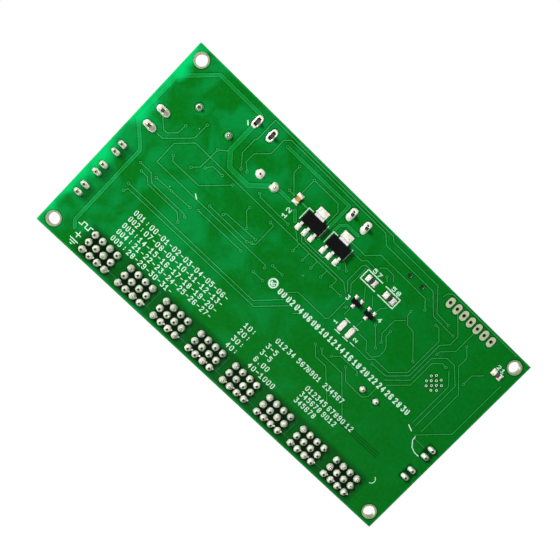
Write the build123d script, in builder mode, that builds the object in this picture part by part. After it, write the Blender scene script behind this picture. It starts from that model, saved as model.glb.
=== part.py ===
"""A 32-channel servo driver board: a loaded circuit board with eight servo headers of four channels.

Frame: +Z is up, out of the component side. The board's underside is the plane Z = 0, and the origin
is the centre of the four mounting holes on it. +X runs along the board, the servo headers lie along
the -Y edge, the power terminals along the +Y edge and the WiFi module at the -X end. The lengths are
in millimetres. "Inset" is a distance in from the nearest edge of the board.
"""

import os
from math import sqrt

from build123d import *

os.makedirs("parts", exist_ok=True)

# --- circuit board ---------------------------------------------------------------------------------
board_length = 120.0
board_width = 61.0
board_thickness = 1.6
board_corner_radius = 0.5
copper = 0.05

mount_inset_x = 3.1
mount_inset_y = 3.1
mount_hole_diameter = 3.2
mount_barrel_wall = 0.1
mount_land_width = 0.45

# --- pins and their holes --------------------------------------------------------------------------
pitch = 2.54
pin_square = 0.64
pin_tip_taper = 0.16
pin_tail = 1.5
pin_hole_play = 0.1
strip_height = 2.54
strip_notch = 0.34
pin_above_strip = 6.0

# --- servo headers ---------------------------------------------------------------------------------
group_count = 8
columns_per_group = 4
rows_per_group = 3
group_spacing = 12.4
group_shift = -0.8
ground_row_inset = 2.24

# --- solder ----------------------------------------------------------------------------------------
pin_pad_diameter = 1.9
pin_solder_height = 1.05
solder_collar = 0.13
jumper_pad_length = 2.7
jumper_pad_width = 1.4
jumper_solder_height = 0.95
terminal_pad_length = 3.8
terminal_pad_width = 2.0
terminal_solder_height = 0.85
lead_pad_play = 0.62
lead_solder_height = 0.9

# --- selection jumpers -----------------------------------------------------------------------------
jumper_inset = 3.0
jumpers_plus_end = (-2.85, -9.85, -16.8)
jumpers_minus_end = (-4.93, -12.56)
capped_jumpers = 4
cap_width = 2.44
cap_length = 5.0
cap_roof = 0.6
cap_pin_clearance = 0.1
cap_rest_gap = 0.05

# --- screw terminals -------------------------------------------------------------------------------
terminal_pitch = 5.08
terminal_depth = 7.8
terminal_height = 10.6
terminal_edge_gap = 0.3
terminal_inset_y = 4.27
terminal_inset_x = 4.8
terminal_x = (33.85, 0.2)
side_terminal_inset_y = 21.35
terminal_chamfer = 1.6
terminal_outer_wall = 0.58
terminal_front_wall = 0.8
terminal_back_wall = 0.8
wire_entry_width = 3.0
entry_bell = 0.35

screw_window_clearance = 0.06
screw_head_rim = 0.65
screw_head_height = 1.3
screw_slot_width = 0.7
screw_slot_depth = 0.8
screw_head_recess = 0.3
screw_side_clearance = 0.06
screw_shelf = 0.4
screw_tip_gap = 0.05

cage_side_clearance = 0.15
cage_depth = 3.4
cage_wall = 0.55
cage_roof = 0.8
cage_set_back = 0.5
cage_travel = 2.0
cage_end_gap = 0.1
cage_floor_gap = 0.25

contact_thickness = 0.7
contact_side_clearance = 0.15
contact_back_clearance = 0.05
contact_foot_thickness = 0.6
terminal_pin_square = 0.9
terminal_tail = 1.9

# --- electrolytic capacitor ------------------------------------------------------------------------
capacitor_diameter = 10.0
capacitor_height = 16.0
capacitor_wall = 0.35
capacitor_pitch = 5.0
capacitor_lead_diameter = 0.6
capacitor_x = 24.4
capacitor_inset_y = 13.2
seal_height = 1.8
seal_bead_depth = 0.35
winding_gap = 0.35
winding_core_diameter = 1.4

# --- axial diode -----------------------------------------------------------------------------------
diode_pitch = 10.16
diode_body_diameter = 2.7
diode_body_length = 5.2
diode_lead_diameter = 0.8
diode_lift = 0.2
diode_x = 44.3
diode_inset_y = 11.9

# --- crystal ---------------------------------------------------------------------------------------
crystal_pitch = 4.9
crystal_length = 11.0
crystal_width = 4.6
crystal_height = 3.5
crystal_flange = 0.4
crystal_flange_height = 0.45
crystal_lead_diameter = 0.45
crystal_x = -34.2
crystal_y = -4.63
lead_tail = 1.3

# --- expansion pads --------------------------------------------------------------------------------
expansion_count = 7
expansion_x = -39.73
expansion_inset_y = 2.64
expansion_hole_diameter = 1.0
expansion_pad_length = 3.0
expansion_pad_width = 1.8

# --- WiFi module -----------------------------------------------------------------------------------
module_length = 25.5
module_width = 18.0
module_board_thickness = 0.8
module_end_inset = 0.7
module_inset_y = 20.84
shield_length = 17.6
shield_width = 15.8
shield_height = 2.4
shield_wall = 0.2
shield_end_gap = 1.1
module_pad_pitch = 1.27
module_side_pads = 14
module_end_pads = 10
module_pad_width = 0.9
module_pad_reach = 0.55
module_pad_first = 0.95

# --- chips -----------------------------------------------------------------------------------------
driver_length = 9.7
driver_width = 4.4
driver_height = 1.0
driver_pins = 14
driver_pin_pitch = 0.65
driver_lead_width = 0.24
driver_places = ((30.0, -8.0), (-22.0, -9.5))
bridge_length = 9.9
bridge_width = 3.9
bridge_height = 1.5
bridge_pins = 8
bridge_pin_pitch = 1.27
bridge_lead_width = 0.42
bridge_x = -22.0
bridge_inset_y = 16.3
chip_stand_off = 0.1
lead_thickness = 0.16
lead_reach = 1.0

# --- regulators and transistors under the board ----------------------------------------------------
regulator_length = 6.5
regulator_width = 3.5
regulator_height = 1.6
regulator_x = (8.3, -0.5)
regulator_inset_y = 12.71
regulator_tab_width = 3.0
regulator_lead_width = 0.75
regulator_lead_pitch = 2.3
regulator_lead_reach = 1.75
transistor_length = 2.9
transistor_width = 1.3
transistor_height = 1.0
transistor_x = (-14.2, -18.8)
transistor_inset_y = 19.85
transistor_lead_width = 0.42
transistor_lead_pitch = 1.9
transistor_lead_reach = 0.55

# --- test pads under the board ---------------------------------------------------------------------
test_pad_x = (-15.9, -18.8)
test_pad_inset_y = 26.7
test_pad_length = 3.5
test_pad_width = 1.6
test_pad_height = 0.4

# --- USB socket ------------------------------------------------------------------------------------
usb_x = -21.65
usb_width = 7.7
usb_height = 3.9
usb_depth = 9.2
usb_wall = 0.3
usb_edge_gap = 0.2
usb_bevel = 0.9
usb_peg_pitch = 4.4
usb_peg_diameter = 0.9
usb_peg_inset_y = 4.98
usb_peg_depth = 1.2
usb_tongue_width = 3.6
usb_tongue_thickness = 0.8
usb_insert_depth = 3.2
usb_tongue_length = 4.6
usb_tab_length = 1.6
usb_tab_reach = 0.9

# --- push switches ---------------------------------------------------------------------------------
switch_side = 5.2
switch_height = 1.25
switch_floor = 0.3
switch_roof = 0.25
switch_places = ((-11.2, 6.0), (-11.2, 13.0))
button_diameter = 2.6
button_flange_diameter = 3.3
button_stand = 0.55
button_clearance = 0.06
button_travel = 0.25
switch_leg_width = 0.7
switch_leg_reach = 0.6

# --- chip parts: length, width, height -------------------------------------------------------------
chip_end = 0.4
chip_size = (2.0, 1.25, 0.65)
array_size = (3.2, 1.6, 0.6)
array_elements = 4
array_pitch = 0.8
array_pad_width = 0.4
array_pad_depth = 0.3
array_y = -17.3
front_capacitors = ((22.4, -8.0), (-14.4, -9.5), (-41.2, -3.2))
front_resistors = ((37.6, -8.0), (37.6, -11.0), (-43.0, -6.4))
# These are given as X and inset from the +Y edge.
edge_lamps = ((44.6, 7.9), (13.0, 4.5), (-6.2, 16.5))
edge_capacitors = ((10.6, 12.9), (4.4, 12.9), (-30.6, 18.1), (-30.6, 24.3), (-15.0, 27.1))
edge_resistors = (
    (-27.0, 27.1), (-23.0, 27.1), (-19.0, 27.1), (47.0, 4.5), (17.4, 4.5), (-6.2, 20.1),
)
rear_capacitors = ((15.5, 11.08, 90), (-54.8, 7.63, 0))
rear_resistors = ((-13.1, 12.97, 0), (-19.7, 12.97, 0))

# --- derived places --------------------------------------------------------------------------------
top = board_thickness
plus_x = board_length / 2
plus_y = board_width / 2
mount_x = board_length - 2 * mount_inset_x
mount_y = board_width - 2 * mount_inset_y
row_y = [-plus_y + ground_row_inset + i * pitch for i in range(rows_per_group)]
group_x = [group_shift + group_spacing * (i - (group_count - 1) / 2) for i in range(group_count)]
header_centre_y = sum(row_y) / rows_per_group
jumper_places = [(plus_x - jumper_inset, y) for y in jumpers_plus_end]
jumper_places += [(-plus_x + jumper_inset, y) for y in reversed(jumpers_minus_end)]
usb_y = plus_y - usb_edge_gap
usb_peg_y = plus_y - usb_peg_inset_y
module_x = -plus_x + module_end_inset + module_length / 2
module_y = plus_y - module_inset_y
pin_hole = pin_square * sqrt(2) + pin_hole_play
terminal_hole = terminal_pin_square * sqrt(2) + pin_hole_play

header_pin_spots = [
    (x + (i - (columns_per_group - 1) / 2) * pitch, y)
    for x in group_x
    for i in range(columns_per_group)
    for y in row_y
]
jumper_pin_spots = [(x, y + side * pitch / 2) for x, y in jumper_places for side in (-1, 1)]
terminal_frames = [
    Location((x, plus_y - terminal_inset_y, top), (0, 0, 180)) for x in terminal_x
]
terminal_frames.append(
    Location((plus_x - terminal_inset_x, plus_y - side_terminal_inset_y, top), (0, 0, 90))
)
pole_offsets = (-terminal_pitch / 2, terminal_pitch / 2)
pole_frames = [frame * Location((dx, 0, 0)) for frame in terminal_frames for dx in pole_offsets]
terminal_front = terminal_inset_y - terminal_edge_gap

capacitor_spots = [
    (capacitor_x + side * capacitor_pitch / 2, plus_y - capacitor_inset_y) for side in (-1, 1)
]
diode_spots = [(diode_x + side * diode_pitch / 2, plus_y - diode_inset_y) for side in (-1, 1)]
crystal_spots = [(crystal_x + side * crystal_pitch / 2, crystal_y) for side in (-1, 1)]
lead_sets = (
    (capacitor_spots, capacitor_lead_diameter),
    (diode_spots, diode_lead_diameter),
    (crystal_spots, crystal_lead_diameter),
)


def inset(x, y):
    """The point X, with Y counted in from the +Y edge."""
    return (x, plus_y - y)


def finish(part, name):
    """Labels a finished piece and writes it."""
    part.label = name
    export_step(part, f"parts/{name}.step")


# --- circuit board ---------------------------------------------------------------------------------
mount_barrel_diameter = mount_hole_diameter + 2 * mount_barrel_wall
expansion_barrel_diameter = expansion_hole_diameter + 2 * copper
usb_peg_hole = usb_peg_diameter + pin_hole_play
usb_peg_spots = [(usb_x + side * usb_peg_pitch / 2, usb_peg_y) for side in (-1, 1)]
expansion_spots = [
    (expansion_x + (i - (expansion_count - 1) / 2) * pitch, plus_y - expansion_inset_y)
    for i in range(expansion_count)
]

with BuildPart() as circuit_board:
    with BuildSketch():
        RectangleRounded(board_length, board_width, board_corner_radius)
        with GridLocations(mount_x, mount_y, 2, 2):
            Circle(mount_barrel_diameter / 2, mode=Mode.SUBTRACT)
        with Locations(*header_pin_spots, *jumper_pin_spots):
            Circle(pin_hole / 2, mode=Mode.SUBTRACT)
        with Locations(*[(f.position.X, f.position.Y) for f in pole_frames]):
            Circle(terminal_hole / 2, mode=Mode.SUBTRACT)
        for spots, lead in lead_sets:
            with Locations(*spots):
                Circle((lead + 2 * pin_hole_play) / 2, mode=Mode.SUBTRACT)
        with Locations(*expansion_spots):
            Circle(expansion_barrel_diameter / 2, mode=Mode.SUBTRACT)
        with Locations(*usb_peg_spots):
            Circle(usb_peg_hole / 2, mode=Mode.SUBTRACT)
    extrude(amount=board_thickness)
finish(circuit_board.part, "circuit_board")

with BuildPart() as mounting_hole_plating:
    for face in (-copper, board_thickness):
        with BuildSketch(Plane.XY.offset(face)):
            with GridLocations(mount_x, mount_y, 2, 2):
                Circle(mount_barrel_diameter / 2 + mount_land_width - mount_barrel_wall)
        extrude(amount=copper)
    with BuildSketch():
        with GridLocations(mount_x, mount_y, 2, 2):
            Circle(mount_barrel_diameter / 2)
    extrude(amount=board_thickness)
    with GridLocations(mount_x, mount_y, 2, 2):
        Hole(mount_hole_diameter / 2)
finish(mounting_hole_plating.part, "mounting_hole_plating")

with BuildPart() as expansion_header_pads:
    for face in (-copper, board_thickness):
        with BuildSketch(Plane.XY.offset(face)):
            with Locations(*expansion_spots):
                SlotOverall(expansion_pad_length, expansion_pad_width, rotation=90)
        extrude(amount=copper)
    with BuildSketch():
        with Locations(*expansion_spots):
            Circle(expansion_barrel_diameter / 2)
    extrude(amount=board_thickness)
    with Locations(*expansion_spots):
        Hole(expansion_hole_diameter / 2)
finish(expansion_header_pads.part, "expansion_header_pads")


# --- header strips and pins ------------------------------------------------------------------------
def pin_strip(x, y, columns, rows):
    """A plastic strip of notched cells with a square hole for each pin."""
    with BuildPart() as strip:
        with BuildSketch(Plane.XY.offset(top)):
            with Locations((x, y)):
                with GridLocations(pitch, pitch, columns, rows):
                    Rectangle(pitch, pitch)
                with GridLocations(pitch, pitch, columns + 1, rows + 1):
                    Rectangle(2 * strip_notch, 2 * strip_notch, rotation=45, mode=Mode.SUBTRACT)
                with GridLocations(pitch, pitch, columns, rows):
                    Rectangle(pin_square, pin_square, mode=Mode.SUBTRACT)
        extrude(amount=strip_height)
    return strip.part


def square_pin(side, low, high, taper):
    """A square pin from one height to another, drawn in at both ends."""
    with BuildPart() as pin:
        with BuildSketch(Plane.XY.offset(low + taper)):
            Rectangle(side, side)
        extrude(amount=high - low - 2 * taper)
        for end in (-1, 1):
            face = pin.faces().sort_by(Axis.Z)[0 if end < 0 else -1]
            extrude(face, amount=taper, taper=30)
    return pin.part


for number, x in enumerate(group_x, 1):
    strip = pin_strip(x, header_centre_y, columns_per_group, rows_per_group)
    finish(strip, f"servo_header_{number}")

pin_top = top + strip_height + pin_above_strip
header_pin = square_pin(pin_square, -pin_tail, pin_top, pin_tip_taper)

with BuildPart() as servo_header_pins:
    with Locations(*header_pin_spots):
        add(header_pin)
finish(servo_header_pins.part, "servo_header_pins")

with BuildPart() as jumper_headers:
    for x, y in jumper_places:
        add(pin_strip(x, y, 1, 2))
finish(jumper_headers.part, "jumper_headers")

with BuildPart() as jumper_pins:
    with Locations(*jumper_pin_spots):
        add(header_pin)
finish(jumper_pins.part, "jumper_pins")

cap_floor = top + strip_height + cap_rest_gap
cap_top = pin_top + cap_rest_gap + cap_roof
pocket_length = pitch + pin_square + 2 * cap_pin_clearance
pocket_width = pin_square + 2 * cap_pin_clearance
for number, (x, y) in enumerate(jumper_places[:capped_jumpers], 1):
    with BuildPart() as jumper_cap:
        with BuildSketch(Plane.XY.offset(cap_floor)):
            with Locations((x, y)):
                RectangleRounded(cap_width, cap_length, 0.3)
        extrude(amount=cap_top - cap_floor)
        chamfer(jumper_cap.faces().sort_by(Axis.Z)[-1].edges(), 0.2)
        with BuildSketch(Plane.XY.offset(cap_floor)):
            with Locations((x, y)):
                Rectangle(pocket_width, pocket_length)
        extrude(amount=cap_top - cap_floor - cap_roof, mode=Mode.SUBTRACT)
    finish(jumper_cap.part, f"jumper_cap_{number}")


# --- screw terminals, each drawn at its own frame: wires come in from -Y ---------------------------
# Heights in this frame are counted from the board's top face.
chamber_width = terminal_pitch - 2 * terminal_outer_wall
cage_width = chamber_width - 2 * cage_side_clearance
cage_window = cage_width - 2 * cage_wall
contact_width = cage_window - 2 * contact_side_clearance
screw_shank_diameter = cage_window - 2 * screw_window_clearance
screw_head_diameter = screw_shank_diameter + 2 * screw_head_rim
cage_low = contact_foot_thickness + cage_floor_gap
cage_window_low = cage_low + cage_wall
contact_low = cage_window_low + cage_travel + cage_end_gap
contact_high = contact_low + contact_thickness
cage_window_high = contact_high + screw_tip_gap + 0.6
cage_high = cage_window_high + cage_roof
cage_y = -terminal_front + terminal_front_wall + cage_set_back + cage_depth / 2
chamber_high = cage_high + cage_travel + cage_end_gap
head_seat = chamber_high + screw_shelf
head_top = head_seat + screw_head_height
housing_high = max(terminal_height, head_top + screw_head_recess)
housing_back = terminal_depth - terminal_front
chamber_back = housing_back - terminal_back_wall
leg_y = chamber_back - contact_back_clearance - contact_thickness / 2


def terminal_housing():
    """A two-pole housing with a chamber, a wire mouth and a screw well for each pole."""
    width = 2 * terminal_pitch
    with BuildPart() as housing:
        with BuildSketch(Plane.YZ.offset(-width / 2)):
            with BuildLine():
                Polyline(
                    (-terminal_front, 0),
                    (housing_back, 0),
                    (housing_back, housing_high),
                    (-terminal_front + terminal_chamfer, housing_high),
                    (-terminal_front, housing_high - 2 * terminal_chamfer),
                    close=True,
                )
            make_face()
        extrude(amount=width)
        for x in pole_offsets:
            chamber_y = (-terminal_front + terminal_front_wall + chamber_back) / 2
            chamber_depth = chamber_back + terminal_front - terminal_front_wall
            with BuildSketch(Plane.XY):
                with Locations((x, chamber_y)):
                    Rectangle(chamber_width, chamber_depth)
            extrude(amount=chamber_high, mode=Mode.SUBTRACT)
            with BuildSketch(Plane.XZ.offset(terminal_front)):
                with Locations((x, (cage_window_low + contact_low) / 2)):
                    Rectangle(wire_entry_width, contact_low - cage_window_low)
            extrude(amount=-terminal_front_wall, mode=Mode.SUBTRACT)
            with BuildSketch(Plane.XZ.offset(terminal_front)):
                with Locations((x, (cage_window_low + contact_low) / 2)):
                    Rectangle(
                        wire_entry_width + 2 * entry_bell,
                        contact_low - cage_window_low + 2 * entry_bell,
                    )
            extrude(amount=-entry_bell, taper=44, mode=Mode.SUBTRACT)
            with BuildSketch(Plane.XY.offset(chamber_high)):
                with Locations((x, cage_y)):
                    Circle(screw_shank_diameter / 2 + screw_side_clearance)
            extrude(amount=housing_high - chamber_high, mode=Mode.SUBTRACT)
            with BuildSketch(Plane.XY.offset(head_seat)):
                with Locations((x, cage_y)):
                    Circle(screw_head_diameter / 2 + screw_side_clearance)
            extrude(amount=housing_high - head_seat, mode=Mode.SUBTRACT)
    return housing.part


def clamp_screw():
    """A slotted cheese-head screw that turns in place."""
    with BuildPart() as screw:
        with BuildSketch(Plane.XY.offset(contact_high + screw_tip_gap)):
            with Locations((0, cage_y)):
                Circle(screw_shank_diameter / 2)
        extrude(amount=head_seat - contact_high - screw_tip_gap)
        chamfer(screw.edges().sort_by(Axis.Z)[0], 0.25)
        with BuildSketch(Plane.XY.offset(head_seat)):
            with Locations((0, cage_y)):
                Circle(screw_head_diameter / 2)
        extrude(amount=screw_head_height)
        with BuildSketch(Plane.XY.offset(head_top - screw_slot_depth)):
            with Locations((0, cage_y)):
                Rectangle(screw_head_diameter + 1, screw_slot_width)
        extrude(amount=screw_slot_depth, mode=Mode.SUBTRACT)
    return screw.part


def clamp_cage():
    """A rectangular cage open front and back, with the screw's hole in its roof."""
    with BuildPart() as cage:
        with BuildSketch(Plane.XY.offset(cage_low)):
            with Locations((0, cage_y)):
                Rectangle(cage_width, cage_depth)
        extrude(amount=cage_high - cage_low)
        with BuildSketch(Plane.XZ.offset(-cage_y - cage_depth / 2)):
            with Locations((0, (cage_window_low + cage_window_high) / 2)):
                Rectangle(cage_window, cage_window_high - cage_window_low)
        extrude(amount=cage_depth, mode=Mode.SUBTRACT)
        with BuildSketch(Plane.XY.offset(cage_window_high)):
            with Locations((0, cage_y)):
                Circle(screw_shank_diameter / 2 + screw_side_clearance)
        extrude(amount=cage_roof, mode=Mode.SUBTRACT)
    return cage.part


def terminal_contact():
    """A bent strip: a bar through the cage, a leg behind it, a foot on the board and a tail."""
    bar_front = cage_y - cage_depth / 2 + 0.2
    back = leg_y + contact_thickness / 2
    with BuildPart() as contact:
        with BuildSketch(Plane.YZ.offset(-contact_width / 2)):
            with BuildLine():
                Polyline(
                    (bar_front, contact_low),
                    (back - contact_thickness, contact_low),
                    (back - contact_thickness, contact_foot_thickness),
                    (-terminal_pin_square / 2, contact_foot_thickness),
                    (-terminal_pin_square / 2, 0),
                    (back, 0),
                    (back, contact_high),
                    (bar_front, contact_high),
                    close=True,
                )
            make_face()
        extrude(amount=contact_width)
        with BuildSketch(Plane.XY):
            Rectangle(terminal_pin_square, terminal_pin_square)
        extrude(amount=-board_thickness - terminal_tail + pin_tip_taper)
        tail_end = contact.faces().sort_by(Axis.Z)[0]
        extrude(tail_end, amount=pin_tip_taper, taper=30)
    return contact.part


housing = terminal_housing()
for number, frame in enumerate(terminal_frames, 1):
    finish(housing.moved(frame), f"terminal_block_{number}")

screw = clamp_screw()
cage = clamp_cage()
contact = terminal_contact()
for number, frame in enumerate(pole_frames, 1):
    finish(screw.moved(frame), f"clamp_screw_{number}")
    finish(cage.moved(frame), f"clamp_cage_{number}")

with BuildPart() as terminal_contacts:
    for frame in pole_frames:
        add(contact.moved(frame))
finish(terminal_contacts.part, "terminal_contacts")


# --- solder under the board ------------------------------------------------------------------------
def solder_cone(pad, lead, height, square):
    """A hollow-sided cone of solder hanging from its pad, with the lead's way through it."""
    tip = lead / 2 * (sqrt(2) if square else 1) + solder_collar
    with BuildPart() as cone:
        with BuildSketch(Plane.XZ):
            with BuildLine():
                Line((0, 0), (pad / 2, 0))
                Line((pad / 2, 0), (pad / 2 - 0.1, -0.12))
                ThreePointArc(
                    (pad / 2 - 0.1, -0.12),
                    (tip + 0.28 * (pad / 2 - tip), -0.5 * height),
                    (tip, -height),
                )
                Line((tip, -height), (0, -height))
                Line((0, -height), (0, 0))
            make_face()
        revolve(axis=Axis.Z)
        with BuildSketch(Plane.XY):
            if square:
                Rectangle(lead, lead)
            else:
                Circle(lead / 2)
        extrude(amount=-height, mode=Mode.SUBTRACT)
    return cone.part


def solder_slot(length, width, lead, height, turn):
    """A sloping mound of solder on an oblong pad, with the lead's square way through it."""
    with BuildPart() as mound:
        with BuildSketch(Plane.XY):
            SlotOverall(length, width, rotation=turn)
        extrude(amount=-height, taper=22)
        with BuildSketch(Plane.XY):
            Rectangle(lead, lead)
        extrude(amount=-height, mode=Mode.SUBTRACT)
    return mound.part


pin_cone = solder_cone(pin_pad_diameter, pin_square, pin_solder_height, True)
jumper_mound = solder_slot(jumper_pad_length, jumper_pad_width, pin_square, jumper_solder_height, 0)

with BuildPart() as solder_joints:
    with Locations(*header_pin_spots):
        add(pin_cone)
    with Locations(*jumper_pin_spots):
        add(jumper_mound)
    for frame in pole_frames:
        along_y = abs(frame.position.X) < plus_x - 2 * terminal_inset_x
        mound = solder_slot(
            terminal_pad_length,
            terminal_pad_width,
            terminal_pin_square,
            terminal_solder_height,
            90 if along_y else 0,
        )
        with Locations((frame.position.X, frame.position.Y)):
            add(mound)
    for spots, lead in lead_sets:
        cone = solder_cone(lead + 2 * lead_pad_play, lead, lead_solder_height, False)
        with Locations(*spots):
            add(cone)
finish(solder_joints.part, "solder_joints")

with BuildPart() as test_pads:
    with BuildSketch(Plane.XY):
        with Locations(*[inset(x, test_pad_inset_y) for x in test_pad_x]):
            SlotOverall(test_pad_length, test_pad_width, rotation=90)
    extrude(amount=-test_pad_height, taper=40)
finish(test_pads.part, "test_pads")

# --- electrolytic capacitor ------------------------------------------------------------------------
capacitor_centre = Plane((capacitor_x, plus_y - capacitor_inset_y, top))
can_radius = capacitor_diameter / 2
bore_radius = can_radius - capacitor_wall
bead_height = seal_height / 2 + 0.3

with BuildPart() as capacitor_can:
    with BuildSketch(capacitor_centre * Plane.XZ):
        with BuildLine():
            Polyline(
                (0, capacitor_height),
                (can_radius - 0.6, capacitor_height),
                (can_radius, capacitor_height - 0.6),
                (can_radius, bead_height + 0.6),
                (can_radius - seal_bead_depth, bead_height),
                (can_radius, bead_height - 0.6),
                (can_radius, 0.2),
                (can_radius - 0.2, 0),
                (bore_radius, 0),
                (bore_radius, bead_height - 0.6),
                (bore_radius - seal_bead_depth, bead_height),
                (bore_radius, bead_height + 0.6),
                (bore_radius, capacitor_height - capacitor_wall),
                (0, capacitor_height - capacitor_wall),
                close=True,
            )
        make_face()
    revolve(axis=Axis(capacitor_centre.origin, (0, 0, 1)))
finish(capacitor_can.part, "capacitor_can")

seal_top = bead_height + 0.6
with BuildPart() as capacitor_seal:
    with BuildSketch(capacitor_centre * Plane.XZ):
        with BuildLine():
            Polyline(
                (0, 0),
                (bore_radius, 0),
                (bore_radius, bead_height - 0.6),
                (bore_radius - seal_bead_depth, bead_height),
                (bore_radius, seal_top),
                (0, seal_top),
                close=True,
            )
        make_face()
    revolve(axis=Axis(capacitor_centre.origin, (0, 0, 1)))
    with Locations(*[(x, y, top) for x, y in capacitor_spots]):
        Cylinder(
            capacitor_lead_diameter / 2,
            2 * seal_top,
            align=(Align.CENTER, Align.CENTER, Align.CENTER),
            mode=Mode.SUBTRACT,
        )
finish(capacitor_seal.part, "capacitor_seal")

winding_low = seal_top + winding_gap
winding_high = capacitor_height - capacitor_wall - winding_gap
with BuildPart() as capacitor_winding:
    with BuildSketch(capacitor_centre.offset(winding_low)):
        Circle(bore_radius - 0.02)
        Circle(winding_core_diameter / 2, mode=Mode.SUBTRACT)
    extrude(amount=winding_high - winding_low)
finish(capacitor_winding.part, "capacitor_winding")

# --- diode and crystal -----------------------------------------------------------------------------
diode_axis_height = top + diode_lift + diode_body_diameter / 2
diode_y = plus_y - diode_inset_y
with BuildPart() as diode_body:
    with BuildSketch(Plane.YZ.offset(diode_x - diode_body_length / 2)):
        with Locations((diode_y, diode_axis_height)):
            Circle(diode_body_diameter / 2)
    extrude(amount=diode_body_length)
    chamfer(diode_body.edges().filter_by(GeomType.CIRCLE), 0.25)
finish(diode_body.part, "diode_body")

with BuildPart() as crystal_can:
    with BuildSketch(Plane.XY.offset(top)):
        with Locations((crystal_x, crystal_y)):
            SlotOverall(crystal_length, crystal_width)
    extrude(amount=crystal_flange_height)
    with BuildSketch(Plane.XY.offset(top + crystal_flange_height)):
        with Locations((crystal_x, crystal_y)):
            SlotOverall(crystal_length - 2 * crystal_flange, crystal_width - 2 * crystal_flange)
    extrude(amount=crystal_height - crystal_flange_height)
    fillet(crystal_can.faces().sort_by(Axis.Z)[-1].edges(), 0.4)
finish(crystal_can.part, "crystal_can")

with BuildPart() as component_leads:
    with BuildSketch(Plane.XY.offset(-lead_tail)):
        with Locations(*capacitor_spots):
            Circle(capacitor_lead_diameter / 2)
    extrude(amount=lead_tail + top + winding_low)
    with BuildSketch(Plane.XY.offset(-lead_tail)):
        with Locations(*crystal_spots):
            Circle(crystal_lead_diameter / 2)
    extrude(amount=lead_tail + top)
    for side in (-1, 1):
        lead_x = diode_x + side * diode_pitch / 2
        with BuildLine() as route:
            FilletPolyline(
                (diode_x + side * diode_body_length / 2, diode_y, diode_axis_height),
                (lead_x, diode_y, diode_axis_height),
                (lead_x, diode_y, -lead_tail),
                radius=diode_lead_diameter,
            )
        with BuildSketch(Plane(route.line @ 0, z_dir=route.line % 0)):
            Circle(diode_lead_diameter / 2)
        sweep(path=route.line)
finish(component_leads.part, "component_leads")

# --- WiFi module -----------------------------------------------------------------------------------
module_top = top + module_board_thickness
shield_x = module_x + module_length / 2 - shield_end_gap - shield_length / 2
side_pad_spots = [
    (module_x + module_length / 2 - module_pad_first - i * module_pad_pitch, side)
    for i in range(module_side_pads)
    for side in (-1, 1)
]
end_pad_spots = [
    module_y + (i - (module_end_pads - 1) / 2) * module_pad_pitch for i in range(module_end_pads)
]

with BuildPart() as wifi_module_board:
    with BuildSketch(Plane.XY.offset(top)):
        with Locations((module_x, module_y)):
            Rectangle(module_length, module_width)
        with Locations(*[(x, module_y + s * module_width / 2) for x, s in side_pad_spots]):
            Rectangle(module_pad_width, 2 * module_pad_reach, mode=Mode.SUBTRACT)
        with Locations(*[(module_x + module_length / 2, y) for y in end_pad_spots]):
            Rectangle(2 * module_pad_reach, module_pad_width, mode=Mode.SUBTRACT)
    extrude(amount=module_board_thickness)
finish(wifi_module_board.part, "wifi_module_board")

with BuildPart() as wifi_module_pads:
    with BuildSketch(Plane.XY.offset(top)):
        with Locations(
            *[(x, module_y + s * (module_width - module_pad_reach) / 2) for x, s in side_pad_spots]
        ):
            Rectangle(module_pad_width, module_pad_reach)
        with Locations(*[(module_x + (module_length - module_pad_reach) / 2, y) for y in end_pad_spots]):
            Rectangle(module_pad_reach, module_pad_width)
    extrude(amount=module_board_thickness + copper)
finish(wifi_module_pads.part, "wifi_module_pads")

with BuildPart() as wifi_module_shield:
    with BuildSketch(Plane.XY.offset(module_top)):
        with Locations((shield_x, module_y)):
            RectangleRounded(shield_length, shield_width, 0.6)
    extrude(amount=shield_height)
    fillet(wifi_module_shield.faces().sort_by(Axis.Z)[-1].edges(), 0.25)
    with BuildSketch(Plane.XY.offset(module_top)):
        with Locations((shield_x, module_y)):
            RectangleRounded(shield_length - 2 * shield_wall, shield_width - 2 * shield_wall, 0.4)
    extrude(amount=shield_height - shield_wall, mode=Mode.SUBTRACT)
finish(wifi_module_shield.part, "wifi_module_shield")

with BuildPart() as wifi_module_chips:
    with Locations((shield_x - 2.6, module_y + 1.5, module_top)):
        Box(6.0, 6.0, 0.85, align=(Align.CENTER, Align.CENTER, Align.MIN))
    with Locations((shield_x + 5.0, module_y - 2.5, module_top)):
        Box(5.3, 5.2, 1.7, align=(Align.CENTER, Align.CENTER, Align.MIN))
finish(wifi_module_chips.part, "wifi_module_chips")


# --- chips with rows of gull-wing leads ------------------------------------------------------------
def moulded_body(length, width, height, lift):
    """A moulded body with drawn-in top and bottom halves, standing lift above its plane."""
    half = height / 2
    with BuildPart() as body:
        with BuildSketch(Plane.XY.offset(lift + half)):
            Rectangle(length, width)
        extrude(amount=half, taper=7)
        with BuildSketch(Plane.XY.offset(lift + half)):
            Rectangle(length, width)
        extrude(amount=-half, taper=7)
    return body.part


def gull_lead(root, reach, knee, width):
    """One bent lead: out of the body at the knee's height, down, and out flat on its pad."""
    shoulder = root + 0.35 * reach
    drop = root + 0.5 * reach
    end = root + reach
    thick = lead_thickness
    with BuildPart() as lead:
        with BuildSketch(Plane.YZ.offset(-width / 2)):
            with BuildLine():
                Polyline(
                    (root, knee + thick / 2),
                    (shoulder, knee + thick / 2),
                    (drop + thick, thick),
                    (end, thick),
                    (end, 0),
                    (drop, 0),
                    (shoulder - thick, knee - thick / 2),
                    (root, knee - thick / 2),
                    close=True,
                )
            make_face()
        extrude(amount=width)
    return lead.part


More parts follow.
